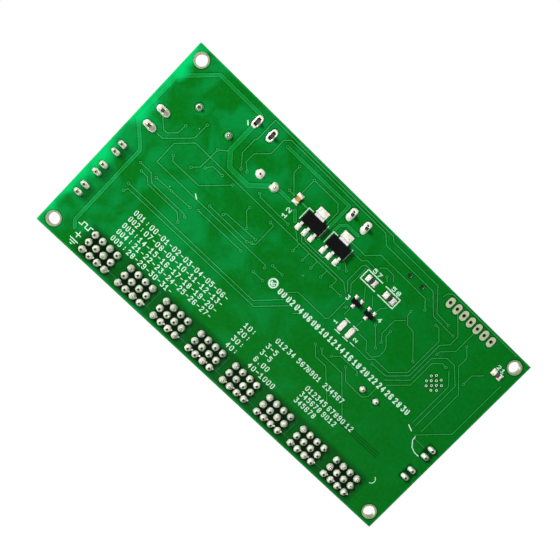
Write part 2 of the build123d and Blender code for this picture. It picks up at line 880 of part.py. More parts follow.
def lead_rows(root, reach, knee, width, count, spacing):
    """The places of one chip's leads as solids, in the chip's own frame."""
    lead = gull_lead(root, reach, knee, width)
    leads = []
    for turn in (0, 180):
        for i in range(count):
            offset = (i - (count - 1) / 2) * spacing
            leads.append(lead.moved(Location((offset, 0, 0), (0, 0, 0))).rotate(Axis.Z, turn))
    return leads


driver_body = moulded_body(driver_length, driver_width, driver_height, chip_stand_off)
bridge_body = moulded_body(bridge_length, bridge_width, bridge_height, chip_stand_off)
driver_frames = [Location((x, y, top)) for x, y in driver_places]
bridge_frame = Location((*inset(bridge_x, bridge_inset_y), top))

with BuildPart() as interface_chips:
    for frame in driver_frames:
        add(driver_body.moved(frame))
    add(bridge_body.moved(bridge_frame))
finish(interface_chips.part, "interface_chips")

driver_leads = lead_rows(
    driver_width / 2,
    lead_reach,
    chip_stand_off + driver_height / 2,
    driver_lead_width,
    driver_pins,
    driver_pin_pitch,
)
bridge_leads = lead_rows(
    bridge_width / 2,
    lead_reach,
    chip_stand_off + bridge_height / 2,
    bridge_lead_width,
    bridge_pins,
    bridge_pin_pitch,
)

switch_legs = []
for x, y in switch_places:
    for sx in (-1, 1):
        for sy in (-1, 1):
            cx = x + sx * (switch_side / 2 + switch_leg_reach / 2)
            cy = plus_y - y + sy * (switch_side / 2 - switch_leg_width)
            switch_legs.append((cx, cy))

with BuildPart() as surface_leads:
    for frame in driver_frames:
        for lead in driver_leads:
            add(lead.moved(frame))
    for lead in bridge_leads:
        add(lead.moved(bridge_frame))
    with BuildSketch(Plane.XY.offset(top)):
        with Locations(*switch_legs):
            Rectangle(switch_leg_reach, switch_leg_width)
    extrude(amount=2 * lead_thickness)
finish(surface_leads.part, "surface_leads")

# --- regulators and transistors, hanging under the board -------------------------------------------
under = Location((0, 0, 0), (180, 0, 0))
regulator_frames = [Location((*inset(x, regulator_inset_y), 0)) * under for x in regulator_x]
transistor_frames = [Location((*inset(x, transistor_inset_y), 0)) * under for x in transistor_x]

regulator_body = moulded_body(regulator_length, regulator_width, regulator_height, chip_stand_off)
transistor_body = moulded_body(
    transistor_length, transistor_width, transistor_height, chip_stand_off
)

with BuildPart() as voltage_regulators:
    for frame in regulator_frames:
        add(regulator_body.moved(frame))
finish(voltage_regulators.part, "voltage_regulators")

with BuildPart() as reset_transistors:
    for frame in transistor_frames:
        add(transistor_body.moved(frame))
finish(reset_transistors.part, "reset_transistors")

regulator_knee = chip_stand_off + regulator_height / 2
regulator_lead = gull_lead(
    regulator_width / 2, regulator_lead_reach, regulator_knee, regulator_lead_width
)
regulator_tab = gull_lead(
    regulator_width / 2, regulator_lead_reach, regulator_knee, regulator_tab_width
).rotate(Axis.Z, 180)
transistor_knee = chip_stand_off + transistor_height / 2
transistor_lead = gull_lead(
    transistor_width / 2, transistor_lead_reach, transistor_knee, transistor_lead_width
)

with BuildPart() as rear_leads:
    for frame in regulator_frames:
        add(regulator_tab.moved(frame))
        for i in (-1, 0, 1):
            offset = Location((i * regulator_lead_pitch, 0, 0))
            add(regulator_lead.moved(frame * offset))
    for frame in transistor_frames:
        add(transistor_lead.moved(frame))
        for side in (-1, 1):
            offset = Location((side * transistor_lead_pitch / 2, 0, 0))
            add(transistor_lead.rotate(Axis.Z, 180).moved(frame * offset))
finish(rear_leads.part, "rear_leads")

# --- USB socket ------------------------------------------------------------------------------------
usb_back = usb_y - usb_depth
usb_mid = top + usb_height / 2


def usb_corners(shrink):
    """The corners of the socket's outline: a rectangle with its two lower corners bevelled."""
    half = usb_width / 2 - shrink
    low = top + shrink
    high = top + usb_height - shrink
    return [
        (usb_x - half, high),
        (usb_x + half, high),
        (usb_x + half, low + usb_bevel),
        (usb_x + half - usb_bevel, low),
        (usb_x - half + usb_bevel, low),
        (usb_x - half, low + usb_bevel),
    ]


with BuildPart() as usb_shell:
    with BuildSketch(Plane.XZ.offset(-usb_y)):
        with BuildLine():
            Polyline(*usb_corners(0), close=True)
        make_face()
    extrude(amount=usb_depth)
    with BuildSketch(Plane.XZ.offset(-usb_y)):
        with BuildLine():
            Polyline(*usb_corners(usb_wall), close=True)
        make_face()
    extrude(amount=usb_depth - usb_wall, mode=Mode.SUBTRACT)
    tab_spots = [
        (usb_x + side * (usb_width / 2 + usb_tab_reach / 2 - usb_bevel / 2), y)
        for side in (-1, 1)
        for y in (usb_y - 1.6 * usb_tab_length, usb_back + usb_tab_length)
    ]
    with BuildSketch(Plane.XY.offset(top)):
        with Locations(*tab_spots):
            Rectangle(usb_tab_reach + usb_bevel, usb_tab_length)
    extrude(amount=usb_wall)
    with Locations(*[(x, y, top) for x, y in usb_peg_spots]):
        Cylinder(
            usb_peg_diameter / 2,
            4 * usb_wall,
            align=(Align.CENTER, Align.CENTER, Align.CENTER),
            mode=Mode.SUBTRACT,
        )
finish(usb_shell.part, "usb_shell")

with BuildPart() as usb_insert:
    with BuildSketch(Plane.XZ.offset(-usb_back - usb_wall - usb_insert_depth)):
        with BuildLine():
            Polyline(*usb_corners(usb_wall), close=True)
        make_face()
    extrude(amount=usb_insert_depth)
    with BuildSketch(Plane.XZ.offset(-usb_back - usb_wall - usb_insert_depth - usb_tongue_length)):
        with Locations((usb_x, usb_mid + usb_tongue_thickness / 2)):
            Rectangle(usb_tongue_width, usb_tongue_thickness)
    extrude(amount=usb_tongue_length)
    with BuildSketch(Plane.XY.offset(top + usb_wall)):
        with Locations(*usb_peg_spots):
            Circle(usb_peg_diameter / 2)
    extrude(amount=-usb_wall - usb_peg_depth)
    peg_strip_back = usb_back + usb_wall + usb_insert_depth
    with BuildSketch(Plane.XY.offset(top + usb_wall)):
        with Locations((usb_x, (peg_strip_back + usb_peg_y + usb_peg_diameter / 2) / 2)):
            Rectangle(
                usb_peg_pitch + usb_peg_diameter,
                usb_peg_y + usb_peg_diameter / 2 - peg_strip_back,
            )
    extrude(amount=0.35)
finish(usb_insert.part, "usb_insert")

# --- push switches ---------------------------------------------------------------------------------
stem_low = switch_floor + button_travel + 0.05
cavity_high = switch_height - switch_roof

with BuildPart() as switch_cases:
    with BuildSketch(Plane.XY.offset(top)):
        with Locations(*[inset(x, y) for x, y in switch_places]):
            RectangleRounded(switch_side, switch_side, 0.4)
    extrude(amount=switch_height)
    with BuildSketch(Plane.XY.offset(top + switch_floor)):
        with Locations(*[inset(x, y) for x, y in switch_places]):
            Circle(button_flange_diameter / 2 + button_clearance)
    extrude(amount=cavity_high - switch_floor, mode=Mode.SUBTRACT)
    with BuildSketch(Plane.XY.offset(top + cavity_high)):
        with Locations(*[inset(x, y) for x, y in switch_places]):
            Circle(button_diameter / 2 + button_clearance)
    extrude(amount=switch_roof, mode=Mode.SUBTRACT)
finish(switch_cases.part, "switch_cases")

for name, place in zip(("reset_button", "boot_button"), switch_places):
    with BuildPart() as button:
        with BuildSketch(Plane.XY.offset(top + stem_low)):
            with Locations(inset(*place)):
                Circle(button_flange_diameter / 2)
        extrude(amount=cavity_high - stem_low)
        with BuildSketch(Plane.XY.offset(top + cavity_high)):
            with Locations(inset(*place)):
                Circle(button_diameter / 2)
        extrude(amount=switch_roof + button_stand)
        chamfer(button.edges().sort_by(Axis.Z)[-1], 0.15)
    finish(button.part, name)


# --- chip capacitors, resistors, arrays and lamps --------------------------------------------------
def chip_frames(places):
    return [Location((x, y, top)) for x, y in places]


def edge_frames(places):
    return chip_frames([inset(x, y) for x, y in places])


def rear_frames(places):
    return [Location((*inset(x, y), 0), (180, 0, turn)) for x, y, turn in places]


chip_length, chip_width, chip_height = chip_size
array_length, array_width, array_height = array_size
array_frames = chip_frames([(x, array_y) for x in group_x])
led_frames = edge_frames(edge_lamps)
capacitor_frames = chip_frames(front_capacitors) + edge_frames(edge_capacitors)
capacitor_frames += rear_frames(rear_capacitors)
resistor_frames = chip_frames(front_resistors) + edge_frames(edge_resistors)
resistor_frames += rear_frames(rear_resistors)


def chip_middle(height):
    """The bare middle of a chip part."""
    with BuildPart() as middle:
        Box(
            chip_length - 2 * chip_end,
            chip_width,
            height,
            align=(Align.CENTER, Align.CENTER, Align.MIN),
        )
    return middle.part


def chip_ends(height):
    """The two metal ends of a chip part."""
    with BuildPart() as ends:
        with GridLocations(chip_length - chip_end, 0, 2, 1):
            Box(chip_end, chip_width, height, align=(Align.CENTER, Align.CENTER, Align.MIN))
    return ends.part


capacitor_middle = chip_middle(chip_height + 0.2)
resistor_middle = chip_middle(chip_height - 0.1)

with BuildPart() as chip_capacitors:
    for frame in capacitor_frames:
        add(capacitor_middle.moved(frame))
finish(chip_capacitors.part, "chip_capacitors")

with BuildPart() as chip_resistors:
    for frame in resistor_frames:
        add(resistor_middle.moved(frame))
    with BuildSketch(Plane.XY.offset(top)):
        for frame in array_frames:
            with Locations((frame.position.X, frame.position.Y)):
                Rectangle(array_length, array_width)
                for side in (-1, 1):
                    with Locations((0, side * array_width / 2)):
                        with GridLocations(array_pitch, 0, array_elements, 1):
                            Rectangle(array_pad_width, 2 * array_pad_depth, mode=Mode.SUBTRACT)
    extrude(amount=array_height)
finish(chip_resistors.part, "chip_resistors")

with BuildPart() as status_lamps:
    for frame in led_frames:
        add(chip_middle(chip_height).moved(frame))
finish(status_lamps.part, "status_lamps")

with BuildPart() as chip_terminals:
    for frames, height in (
        (capacitor_frames, chip_height + 0.2),
        (resistor_frames, chip_height - 0.1),
        (led_frames, chip_height - 0.25),
    ):
        ends = chip_ends(height)
        for frame in frames:
            add(ends.moved(frame))
    with BuildSketch(Plane.XY.offset(top)):
        for frame in array_frames:
            for side in (-1, 1):
                pad_y = side * (array_width - array_pad_depth) / 2
                with Locations((frame.position.X, frame.position.Y + pad_y)):
                    with GridLocations(array_pitch, 0, array_elements, 1):
                        Rectangle(array_pad_width, array_pad_depth)
    extrude(amount=array_height)
finish(chip_terminals.part, "chip_terminals")
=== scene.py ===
"""Looks of the servo driver board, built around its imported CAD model.

Plain numbers are in millimetres in the CAD frame: +Z up out of the component side, underside at Z = 0.
"""

import math
import random

import bpy
from mathutils import Euler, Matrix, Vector
from mathutils.geometry import convex_hull_2d, delaunay_2d_cdt


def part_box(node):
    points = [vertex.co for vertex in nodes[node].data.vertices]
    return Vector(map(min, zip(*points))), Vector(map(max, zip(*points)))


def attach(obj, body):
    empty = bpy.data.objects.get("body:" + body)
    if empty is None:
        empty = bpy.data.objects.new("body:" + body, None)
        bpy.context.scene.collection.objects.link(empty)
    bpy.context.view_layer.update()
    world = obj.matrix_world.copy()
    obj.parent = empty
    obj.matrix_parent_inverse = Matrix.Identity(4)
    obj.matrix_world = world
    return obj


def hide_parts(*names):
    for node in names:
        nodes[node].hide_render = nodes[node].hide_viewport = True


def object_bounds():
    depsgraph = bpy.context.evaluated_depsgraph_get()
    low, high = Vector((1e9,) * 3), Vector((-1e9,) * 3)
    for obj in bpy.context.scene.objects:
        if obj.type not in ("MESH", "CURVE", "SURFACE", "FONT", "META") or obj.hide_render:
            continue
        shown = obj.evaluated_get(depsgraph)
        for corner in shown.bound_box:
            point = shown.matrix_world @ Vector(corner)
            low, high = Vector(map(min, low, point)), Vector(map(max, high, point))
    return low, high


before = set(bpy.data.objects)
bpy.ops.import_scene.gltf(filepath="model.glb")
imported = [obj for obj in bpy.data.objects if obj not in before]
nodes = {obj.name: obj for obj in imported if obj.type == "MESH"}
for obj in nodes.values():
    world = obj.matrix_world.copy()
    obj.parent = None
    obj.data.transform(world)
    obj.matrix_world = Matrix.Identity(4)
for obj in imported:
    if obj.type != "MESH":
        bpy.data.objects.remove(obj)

cad_bounds = [list(v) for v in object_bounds()]
MM = 0.001


# --- measuring the CAD nodes ---
def box(name):
    """The low and high corners of a CAD node."""
    return [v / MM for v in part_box(name)]


def islands(name):
    """The separate solids of a CAD node, each as its list of points."""
    mesh = nodes[name].data
    keys, index, parent = {}, [], []
    for v in mesh.vertices:
        key = tuple(round(c / MM, 3) for c in v.co)
        if key not in keys:
            keys[key] = len(keys)
            parent.append(keys[key])
        index.append(keys[key])

    def root(i):
        while parent[i] != i:
            parent[i] = parent[parent[i]]
            i = parent[i]
        return i

    for face in mesh.polygons:
        first = root(index[face.vertices[0]])
        for v in face.vertices[1:]:
            parent[root(index[v])] = first
    groups = {}
    for key, i in keys.items():
        groups.setdefault(root(i), []).append(key)
    return list(groups.values())


def span(points):
    """The low and high corners of some points."""
    return tuple(Vector([pick(p[i] for p in points) for i in range(3)]) for pick in (min, max))


def spans(name):
    return [span(solid) for solid in islands(name)]


low, high = box("circuit_board")
length, width, top = high.x - low.x, high.y - low.y, high.z
middle_x = (low.x + high.x) / 2
header_low, header_high = box("servo_header_1")[0], box("servo_header_8")[1]
first_header, second_header = (sum(v.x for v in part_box(f"servo_header_{n}")) / 2 / MM for n in (1, 2))
header_step = second_header - first_header
jumper_spots = [(a + b) / 2 for a, b in spans("jumper_pins")]
end_jumpers, side_jumpers = [], []
for way, found in ((-1, end_jumpers), (1, side_jumpers)):
    pins = sorted((v for v in jumper_spots if v.x * way > 0), key=lambda v: v.y)
    found += [(a + b) / 2 for a, b in zip(pins[::2], pins[1::2])]


# --- material tools ---
class Tree:
    """A node tree with a few helpers that build it."""

    def __init__(self, tree):
        self.tree = tree

    def node(self, kind, **settings):
        made = self.tree.nodes.new("ShaderNode" + kind)
        for key, value in settings.items():
            setattr(made, key, value)
        return made

    def link(self, a, b):
        self.tree.links.new(a, b)

    def put(self, socket, value):
        """Sets a socket to a number or a colour, or links it to another node's output."""
        if isinstance(value, (int, float)):
            socket.default_value = value
        elif isinstance(value, tuple):
            socket.default_value = (*value, 1.0) if len(value) < len(socket.default_value) else value
        else:
            self.link(value, socket)

    def feed(self, made, keys, values):
        for key, value in zip(keys, values):
            self.put(made.inputs[key], value)
        return made.outputs[0]

    def ramp(self, value, start, end, low_value=0.0, high_value=1.0, smooth=True):
        made = self.node("MapRange", interpolation_type="SMOOTHSTEP" if smooth else "LINEAR")
        keys = ("Value", "From Min", "From Max", "To Min", "To Max")
        return self.feed(made, keys, (value, start, end, low_value, high_value))

    def math(self, operation, a, b=0.0):
        return self.feed(self.node("Math", operation=operation), (0, 1), (a, b))

    def times(self, first, *others):
        for other in others:
            first = self.math("MULTIPLY", first, other)
        return first

    def apart(self, a, b):
        return self.math("ABSOLUTE", self.math("SUBTRACT", a, b))


class Shade(Tree):
    """A Principled material that is measured in millimetres."""

    def __init__(self, name, roughness=0.5, metallic=0.0, specular=0.5, coat=0.0, coat_roughness=0.1):
        self.mat = bpy.data.materials.new(name)
        self.mat.use_nodes = True
        super().__init__(self.mat.node_tree)
        self.bsdf = self.tree.nodes["Principled BSDF"]
        keys = ("Roughness", "Metallic", "Specular IOR Level", "Coat Weight", "Coat Roughness")
        self.feed(self.bsdf, keys, (roughness, metallic, specular, coat, coat_roughness))
        place, scale = self.node("TexCoord"), self.node("Mapping")
        self.place = self.feed(scale, ("Vector", "Scale"), (place.outputs["Object"], (1 / MM, 1 / MM, 1 / MM)))

    def noise(self, size, detail=3.0, roughness=0.55, stretch=None, distortion=0.0):
        place = self.place
        if stretch:
            place = self.feed(self.node("Mapping"), ("Vector", "Scale"), (place, stretch))
        keys = ("Vector", "Scale", "Detail", "Roughness", "Distortion")
        return self.feed(self.node("TexNoise"), keys, (place, 1 / size, detail, roughness, distortion))

    def drift(self, size, detail, low_value=0.0, high_value=1.0, stretch=None):
        """Soft noise spread over a range."""
        return self.ramp(self.noise(size, detail, stretch=stretch), 0.3, 0.7, low_value, high_value)

    def mix(self, share, a, b):
        made = self.node("Mix", data_type="RGBA")
        self.feed(made, ("Factor", 6, 7), (share, a, b))
        return made.outputs[2]

    def axes(self):
        made = self.node("SeparateXYZ")
        self.link(self.place, made.inputs[0])
        return made.outputs

    def colour(self, value):
        self.put(self.bsdf.inputs["Base Color"], value)

    def rough(self, value):
        self.put(self.bsdf.inputs["Roughness"], value)

    def bump(self, height, depth):
        made = self.node("Bump")
        self.link(self.feed(made, ("Distance", "Height"), (depth * MM, height)), self.bsdf.inputs["Normal"])


def tone(colour, factor):
    return tuple(min(1.0, c * factor) for c in colour)


def finish_of(name, colour, roughness, metallic, specular, coat, vary, patch, grain, depth, stretch):
    """A surface whose tone varies in soft patches, with its gloss drifting over them and a fine grain."""
    s = Shade(name, roughness, metallic, specular, coat)
    s.colour(s.mix(s.drift(patch, 4.0), tone(colour, 1 - vary), tone(colour, 1 + vary)))
    s.rough(s.drift(patch * 0.45, 3.0, roughness - 0.08, roughness + 0.08, stretch))
    s.bump(s.noise(grain, 2.0, stretch=stretch), depth)
    return s.mat


# --- materials ---
# Painted light and shade on the mask: a near-black painted shadow, a darker painted shade round the header rows,
# and a bright painted light at the +X edge.
SHADOW_GREEN = (0.0004, 0.0045, 0.0012)
HEADER_SHADE_GREEN = (0.0004, 0.036, 0.003)
LIT_EDGE_GREEN = (0.0, 0.56, 0.135)


def mask(name, colour, light):
    """Solder mask: a glossy green film, paler in soft patches, with painted light making it paler towards +X and
    much brighter at the +X edge.

    On the underside painted shade darkens it round the joints of the servo headers, and painted shadow takes it
    near black over the headers and beside the selection headers."""
    s = Shade(name, 0.3, 0.0, 0.045)
    x, y, z = s.axes()
    patch = s.ramp(s.noise(11.0, 5.0, distortion=0.7), 0.40, 0.66)
    # Painted light: the pale patches are weak at -X and grow full towards +X.
    painted_sheen = s.ramp(x, middle_x - length * 0.42, middle_x + length * 0.45, 0.15, 1.0)
    fine = s.ramp(s.noise(1.1, 5.0, 0.65), 0.38, 0.8)
    base = s.mix(s.times(patch, painted_sheen), colour, light)
    base = s.mix(s.times(fine, 0.22), base, tone(light, 1.25))
    # Painted light: a bright green band along the +X edge, wavering in width.
    rim = s.ramp(s.math("ADD", x, s.drift(9.0, 2.0, -2.6, 1.2)), high.x - 4.4, high.x)
    base = s.mix(rim, base, LIT_EDGE_GREEN)
    # Painted shade: a darker band along the servo header rows on the underside, and painted shadow near black over
    # each header's block of joints.
    run = s.times(s.ramp(x, header_low.x - 2.4, header_low.x), s.ramp(x, header_high.x + 2.2, header_high.x))
    low_side = s.ramp(z, top * 0.6, top * 0.3)
    row = s.times(s.ramp(y, header_low.y - 1.4, header_low.y + 0.4), s.ramp(y, header_high.y + 1.8, header_high.y),
                  run, low_side)
    across = s.math("PINGPONG", s.math("SUBTRACT", x, first_header - 0.35), header_step / 2)
    away = s.apart(y, (header_low.y + header_high.y) / 2 - 0.1)
    block = s.times(s.ramp(across, 5.3, 4.0), s.ramp(away, 4.1, 3.0))
    base = s.mix(s.times(row, 0.62), base, HEADER_SHADE_GREEN)
    base = s.mix(s.times(row, block), base, SHADOW_GREEN)
    # Painted shadow round the selection headers' pads at -X, and beside those at +X, shifted towards -X.
    jumper_shadows = [(v.x, v.y, 2.1, 1.3, 2.7, 1.9, 0.8) for v in end_jumpers]
    jumper_shadows += [(v.x - 1.6, v.y, 2.6, 0.6, 3.0, 1.2, 0.5) for v in side_jumpers]
    for cx, cy, x_out, x_in, y_out, y_in, weight in jumper_shadows:
        jumper_shadow = s.times(s.ramp(s.apart(x, cx), x_out, x_in), s.ramp(s.apart(y, cy), y_out, y_in), low_side)
        base = s.mix(s.times(jumper_shadow, weight), base, SHADOW_GREEN)
    s.colour(base)
    s.rough(s.drift(1.6, 4.0, 0.20, 0.36))
    s.bump(s.noise(0.25, 3.0), 0.006)
    return s.mat


def laminate():
    """The board's cut edge: pale translucent glass cloth in layers between two green films."""
    s = Shade("laminate_edge", 0.55, 0.0, 0.35)
    z = s.axes()[2]
    layers = s.ramp(s.noise(0.35, 3.0, stretch=(0.12, 0.12, 2.4)), 0.35, 0.65)
    cloth = s.mix(layers, (0.10, 0.42, 0.16), (0.30, 0.62, 0.30))
    skin = s.math("MAXIMUM", s.ramp(z, 0.12, 0.02), s.ramp(z, top - 0.12, top - 0.02))
    s.colour(s.mix(skin, cloth, (0.004, 0.22, 0.035)))
    s.rough(s.drift(0.4, 3.0, 0.45, 0.7))
    s.bump(s.noise(0.12, 3.0, stretch=(1, 1, 3)), 0.02)
    return s.mat


def solder_shade():
    """Solder, bright and creamy where it froze smooth and grey where it froze late."""
    s = Shade("solder_bright", 0.3, 0.26, 0.6)
    dull = s.ramp(s.noise(0.8, 4.0), 0.56, 0.80)
    s.colour(s.mix(dull, (0.84, 0.83, 0.71), (0.17, 0.155, 0.10)))
    s.rough(s.ramp(s.noise(0.7, 4.0), 0.35, 0.7, 0.22, 0.38))
    s.bump(s.noise(0.5, 3.0), 0.035)
    return s.mat


def pin_shade(name, pins):
    """Tin-plated pins: dull cut ends under the board, painted near black as a painted dark reflection; fine draw
    lines along Z above it.
    """
    s = Shade(name, 0.3, 1.0)
    z, reach = s.axes()[2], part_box(pins)[0].z / MM
    # Painted reflection: near the cut end the colour is taken near black and the metal made dull.
    cut = s.ramp(z, reach + 0.16, reach + 0.05)
    plate = s.mix(s.drift(0.8, 4.0), (0.62, 0.61, 0.55), (0.80, 0.79, 0.73))
    s.colour(s.mix(cut, plate, (0.012, 0.011, 0.008)))
    s.link(s.ramp(z, reach + 0.05, reach + 0.16, 0.15, 1.0), s.bsdf.inputs["Metallic"])
    drawn = (4, 4, 0.3)
    s.rough(s.math("ADD", s.drift(0.3, 3.0, 0.2, 0.34, drawn), s.times(cut, 0.25)))
    s.bump(s.noise(0.12, 2.0, stretch=drawn), 0.006)
    return s.mat


def tinned(name, colour=(0.80, 0.78, 0.70)):
    """Hot-air levelled tin on a bare pad: creamy, faintly dished and grey in spots."""
    s = Shade(name, 0.34, 0.5)
    spots = s.ramp(s.noise(0.5, 5.0), 0.5, 0.72)
    s.colour(s.mix(spots, colour, tone(colour, 0.55)))
    s.rough(s.drift(0.7, 3.0, 0.25, 0.5))
    s.bump(s.noise(0.7, 3.0), 0.03)
    return s.mat


def wave(s, scale, **settings):
    made = s.node("TexWave", **settings)
    s.feed(made, ("Vector", "Scale"), (s.place, scale))
    return made


def sleeve():
    """The capacitor's shrink sleeve: black, with a pale polarity stripe down one side and a scored bare top."""
    s = Shade("capacitor_sleeve", 0.3, 0.0, 0.5, 0.4, 0.12)
    a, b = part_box("capacitor_can")
    middle, rim = (a + b) / 2 / MM, (b.x - a.x) / 2 / MM
    x, y, z = s.axes()
    dx, dy = s.math("SUBTRACT", x, middle.x), s.math("SUBTRACT", y, middle.y)
    reach = s.math("SQRT", s.math("ADD", s.times(dx, dx), s.times(dy, dy)))
    stripe = s.times(s.ramp(dx, rim * 0.78, rim * 0.80), s.ramp(reach, rim * 0.9, rim * 0.93))
    dashes = wave(s, 0.1, wave_type="BANDS", bands_direction="Z").outputs[1]
    marks = s.times(s.ramp(s.math("ABSOLUTE", dy), 0.75, 0.65), s.ramp(dashes, 0.6, 0.66))
    body = s.mix(s.drift(2.0, 3.0), (0.010, 0.010, 0.013), (0.020, 0.020, 0.026))
    body = s.mix(stripe, body, s.mix(marks, (0.55, 0.57, 0.60), (0.02, 0.02, 0.025)))
    lid = s.times(s.ramp(reach, rim * 0.84, rim * 0.80), s.ramp(z, b.z / MM - 0.8, b.z / MM - 0.6))
    s.colour(s.mix(lid, body, (0.50, 0.51, 0.52)))
    s.link(lid, s.bsdf.inputs["Metallic"])
    score = s.math("MINIMUM", s.math("ABSOLUTE", dx), s.math("ABSOLUTE", dy))
    groove = s.times(s.ramp(score, 0.22, 0.08), lid, s.ramp(reach, rim * 0.62, rim * 0.55))
    s.rough(s.drift(0.8, 3.0, 0.22, 0.36, (1, 1, 0.3)))
    s.bump(s.math("SUBTRACT", s.times(s.noise(0.2, 2.0), 0.05), groove), 0.12)
    return s.mat


def winding():
    """The capacitor's roll of paper and foil."""
    s = Shade("capacitor_winding", 0.8)
    rings = wave(s, 1.2, wave_type="RINGS", rings_direction="Z")
    rings.inputs["Distortion"].default_value = 1.5
    s.colour(s.mix(rings.outputs[1], (0.62, 0.56, 0.44), (0.40, 0.40, 0.42)))
    s.bump(rings.outputs[1], 0.03)
    return s.mat


def diode_shade():
    """Black epoxy with a pale cathode band round the +X end."""
    s = Shade("diode_epoxy", 0.45)
    x = s.axes()[0]
    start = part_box("diode_body")[1].x / MM - 1.45
    band = s.times(s.ramp(x, start, start + 0.06), s.ramp(x, start + 0.85, start + 0.79))
    body = s.mix(s.drift(0.6, 4.0), (0.013, 0.013, 0.014), (0.030, 0.030, 0.031))
    s.colour(s.mix(band, body, (0.55, 0.56, 0.57)))
    s.rough(s.drift(0.5, 3.0, 0.38, 0.55))
    s.bump(s.noise(0.1, 2.0), 0.008)
    return s.mat


def ceramic():
    """Chip capacitors: tan, and darker brown for the ones near the module's end."""
    s = Shade("capacitor_ceramic", 0.42)
    pale = s.mix(s.drift(0.5, 3.0), (0.42, 0.23, 0.035), (0.54, 0.31, 0.055))
    s.colour(s.mix(s.ramp(s.axes()[0], low.x + 14, low.x + 13), pale, (0.060, 0.030, 0.014)))
    s.rough(s.drift(0.4, 3.0, 0.34, 0.5))
    s.bump(s.noise(0.08, 2.0), 0.008)
    return s.mat


mask_pour = mask("mask_over_copper", (0.0003, 0.150, 0.0062), (0.0010, 0.250, 0.044))
mask_trace = mask("mask_over_trace", (0.020, 0.295, 0.052), (0.030, 0.390, 0.100))
mask_gap = mask("mask_over_laminate", (0.0002, 0.066, 0.003), (0.0006, 0.115, 0.015))
mask_wide = mask("mask_over_wide_track", (0.0006, 0.215, 0.022), (0.002, 0.320, 0.072))
mask_rim = mask("mask_at_the_rim", (0.002, 0.230, 0.030), (0.004, 0.300, 0.060))
solder = solder_shade()
solder_dull = tinned("solder_dull", (0.50, 0.50, 0.38))
pad_tin = tinned("pad_tin")

# Each line is one call of finish_of, then the nodes that take the material.
# In this table the near-black hole colour is painted shade, for discs in bores and hollows in solder; via_bore's
# dark green is partly painted shade.
FINISHES = """
legend_white .58,.86,.66 .6 0 .2 0 .14 .5 .08 .01 0 none
via_bore .001,.045,.008 .5 0 .05 0 .3 .3 .12 .004 0 none
bore_film .006,.012,.006 .6 0 .1 0 .3 .4 .12 .004 0 none
mould_mark .075,.075,.078 .5 0 .5 0 .2 .4 .06 .006 0 none
module_gold .83,.62,.25 .3 1 .5 0 .12 .6 .1 .01 0 wifi_module_pads
header_moulding .014,.014,.015 .42 0 .3 0 .35 1.4 .09 .01 0 servo_header_,jumper_headers,usb_insert
jumper_moulding .01,.01,.012 .24 0 .3 .2 .3 1.2 .1 .005 0 jumper_cap_
terminal_moulding .01,.175,.05 .36 0 .5 0 .14 2.2 .14 .008 0 terminal_block_
screw_zinc .56,.57,.59 .32 1 .5 0 .14 .7 .07 .01 0 clamp_
lead_tin .74,.74,.73 .28 1 .5 0 .14 .5 .1 .01 0 surface_leads,rear_leads,chip_terminals
chip_epoxy .016,.016,.017 .55 0 .3 0 .3 .9 .06 .012 0 wifi_module_chips,interface_chips
regulator_epoxy .0022,.0022,.0026 .45 0 .06 0 .3 .9 .07 .01 0 voltage_regulators,reset_transistors
nickel_can .6,.59,.56 .3 1 .5 0 .08 3 .2 .006 .3,4,4 crystal_can,wifi_module_shield
shell_tin .6,.61,.62 .32 1 .5 0 .08 2 .12 .006 4,.4,4 usb_shell
switch_case .6,.6,.6 .35 1 .5 0 .1 1.4 .1 .006 0 switch_cases
module_mask .008,.009,.012 .45 0 .4 0 .35 2 .15 .006 0 wifi_module_board
button_moulding .018,.018,.019 .5 0 .3 0 .3 .8 .08 .012 0 reset_button,boot_button
seal_rubber .016,.015,.015 .75 0 .5 0 .3 .8 .1 .02 0 capacitor_seal
resistor_glaze .02,.02,.022 .35 0 .3 0 .3 .4 .08 .008 0 chip_resistors
lamp_epoxy .8,.8,.66 .2 0 .5 .5 .06 .5 .1 .004 0 status_lamps
"""
looks = {}
dress = {
    "circuit_board": laminate(), "solder_joints": solder, "test_pads": pad_tin,
    "mounting_hole_plating": tinned("land_tin", (0.27, 0.30, 0.18)),
    "expansion_header_pads": tinned("ring_tin", (0.47, 0.51, 0.34)),
    "servo_header_pins": pin_shade("pin_plating", "servo_header_pins"),
    "terminal_contacts": pin_shade("contact_plating", "terminal_contacts"),
    "component_leads": pin_shade("lead_plating", "component_leads"),
    "capacitor_can": sleeve(), "capacitor_winding": winding(), "diode_body": diode_shade(),
    "chip_capacitors": ceramic(),
}
dress["jumper_pins"] = dress["servo_header_pins"]
for line in FINISHES.strip().split("\n"):
    name, colour, *numbers, stretch, users = line.split()
    colour, stretch = (tuple(float(v) for v in part.split(",")) for part in (colour, stretch))
    looks[name] = finish_of(name, colour, *(float(v) for v in numbers), stretch if any(stretch) else None)
    dress.update((user, looks[name]) for user in users.split(","))
# Each node takes the material of the longest of these names that its own name starts with.
for name, obj in nodes.items():
    for place in obj.material_slots:
        place.material = dress[max((key for key in dress if name.startswith(key)), key=len)]


# --- mesh tools ---
def piece(name, points, faces, materials, indices=None, smooth=False, body="board"):
    """A mesh piece from points in millimetres, riding on a body."""
    mesh = bpy.data.meshes.new(name)
    mesh.from_pydata([[c * MM for c in p] for p in points], [], faces)
    for m in materials:
        mesh.materials.append(m)
    if indices:
        mesh.polygons.foreach_set("material_index", indices)
    mesh.polygons.foreach_set("use_smooth", [smooth] * len(mesh.polygons))
    mesh.update()
    obj = bpy.data.objects.new(name, mesh)
    bpy.context.scene.collection.objects.link(obj)
    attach(obj, body)
    return obj


def face_height(side):
    return 0.0 if side < 0 else top


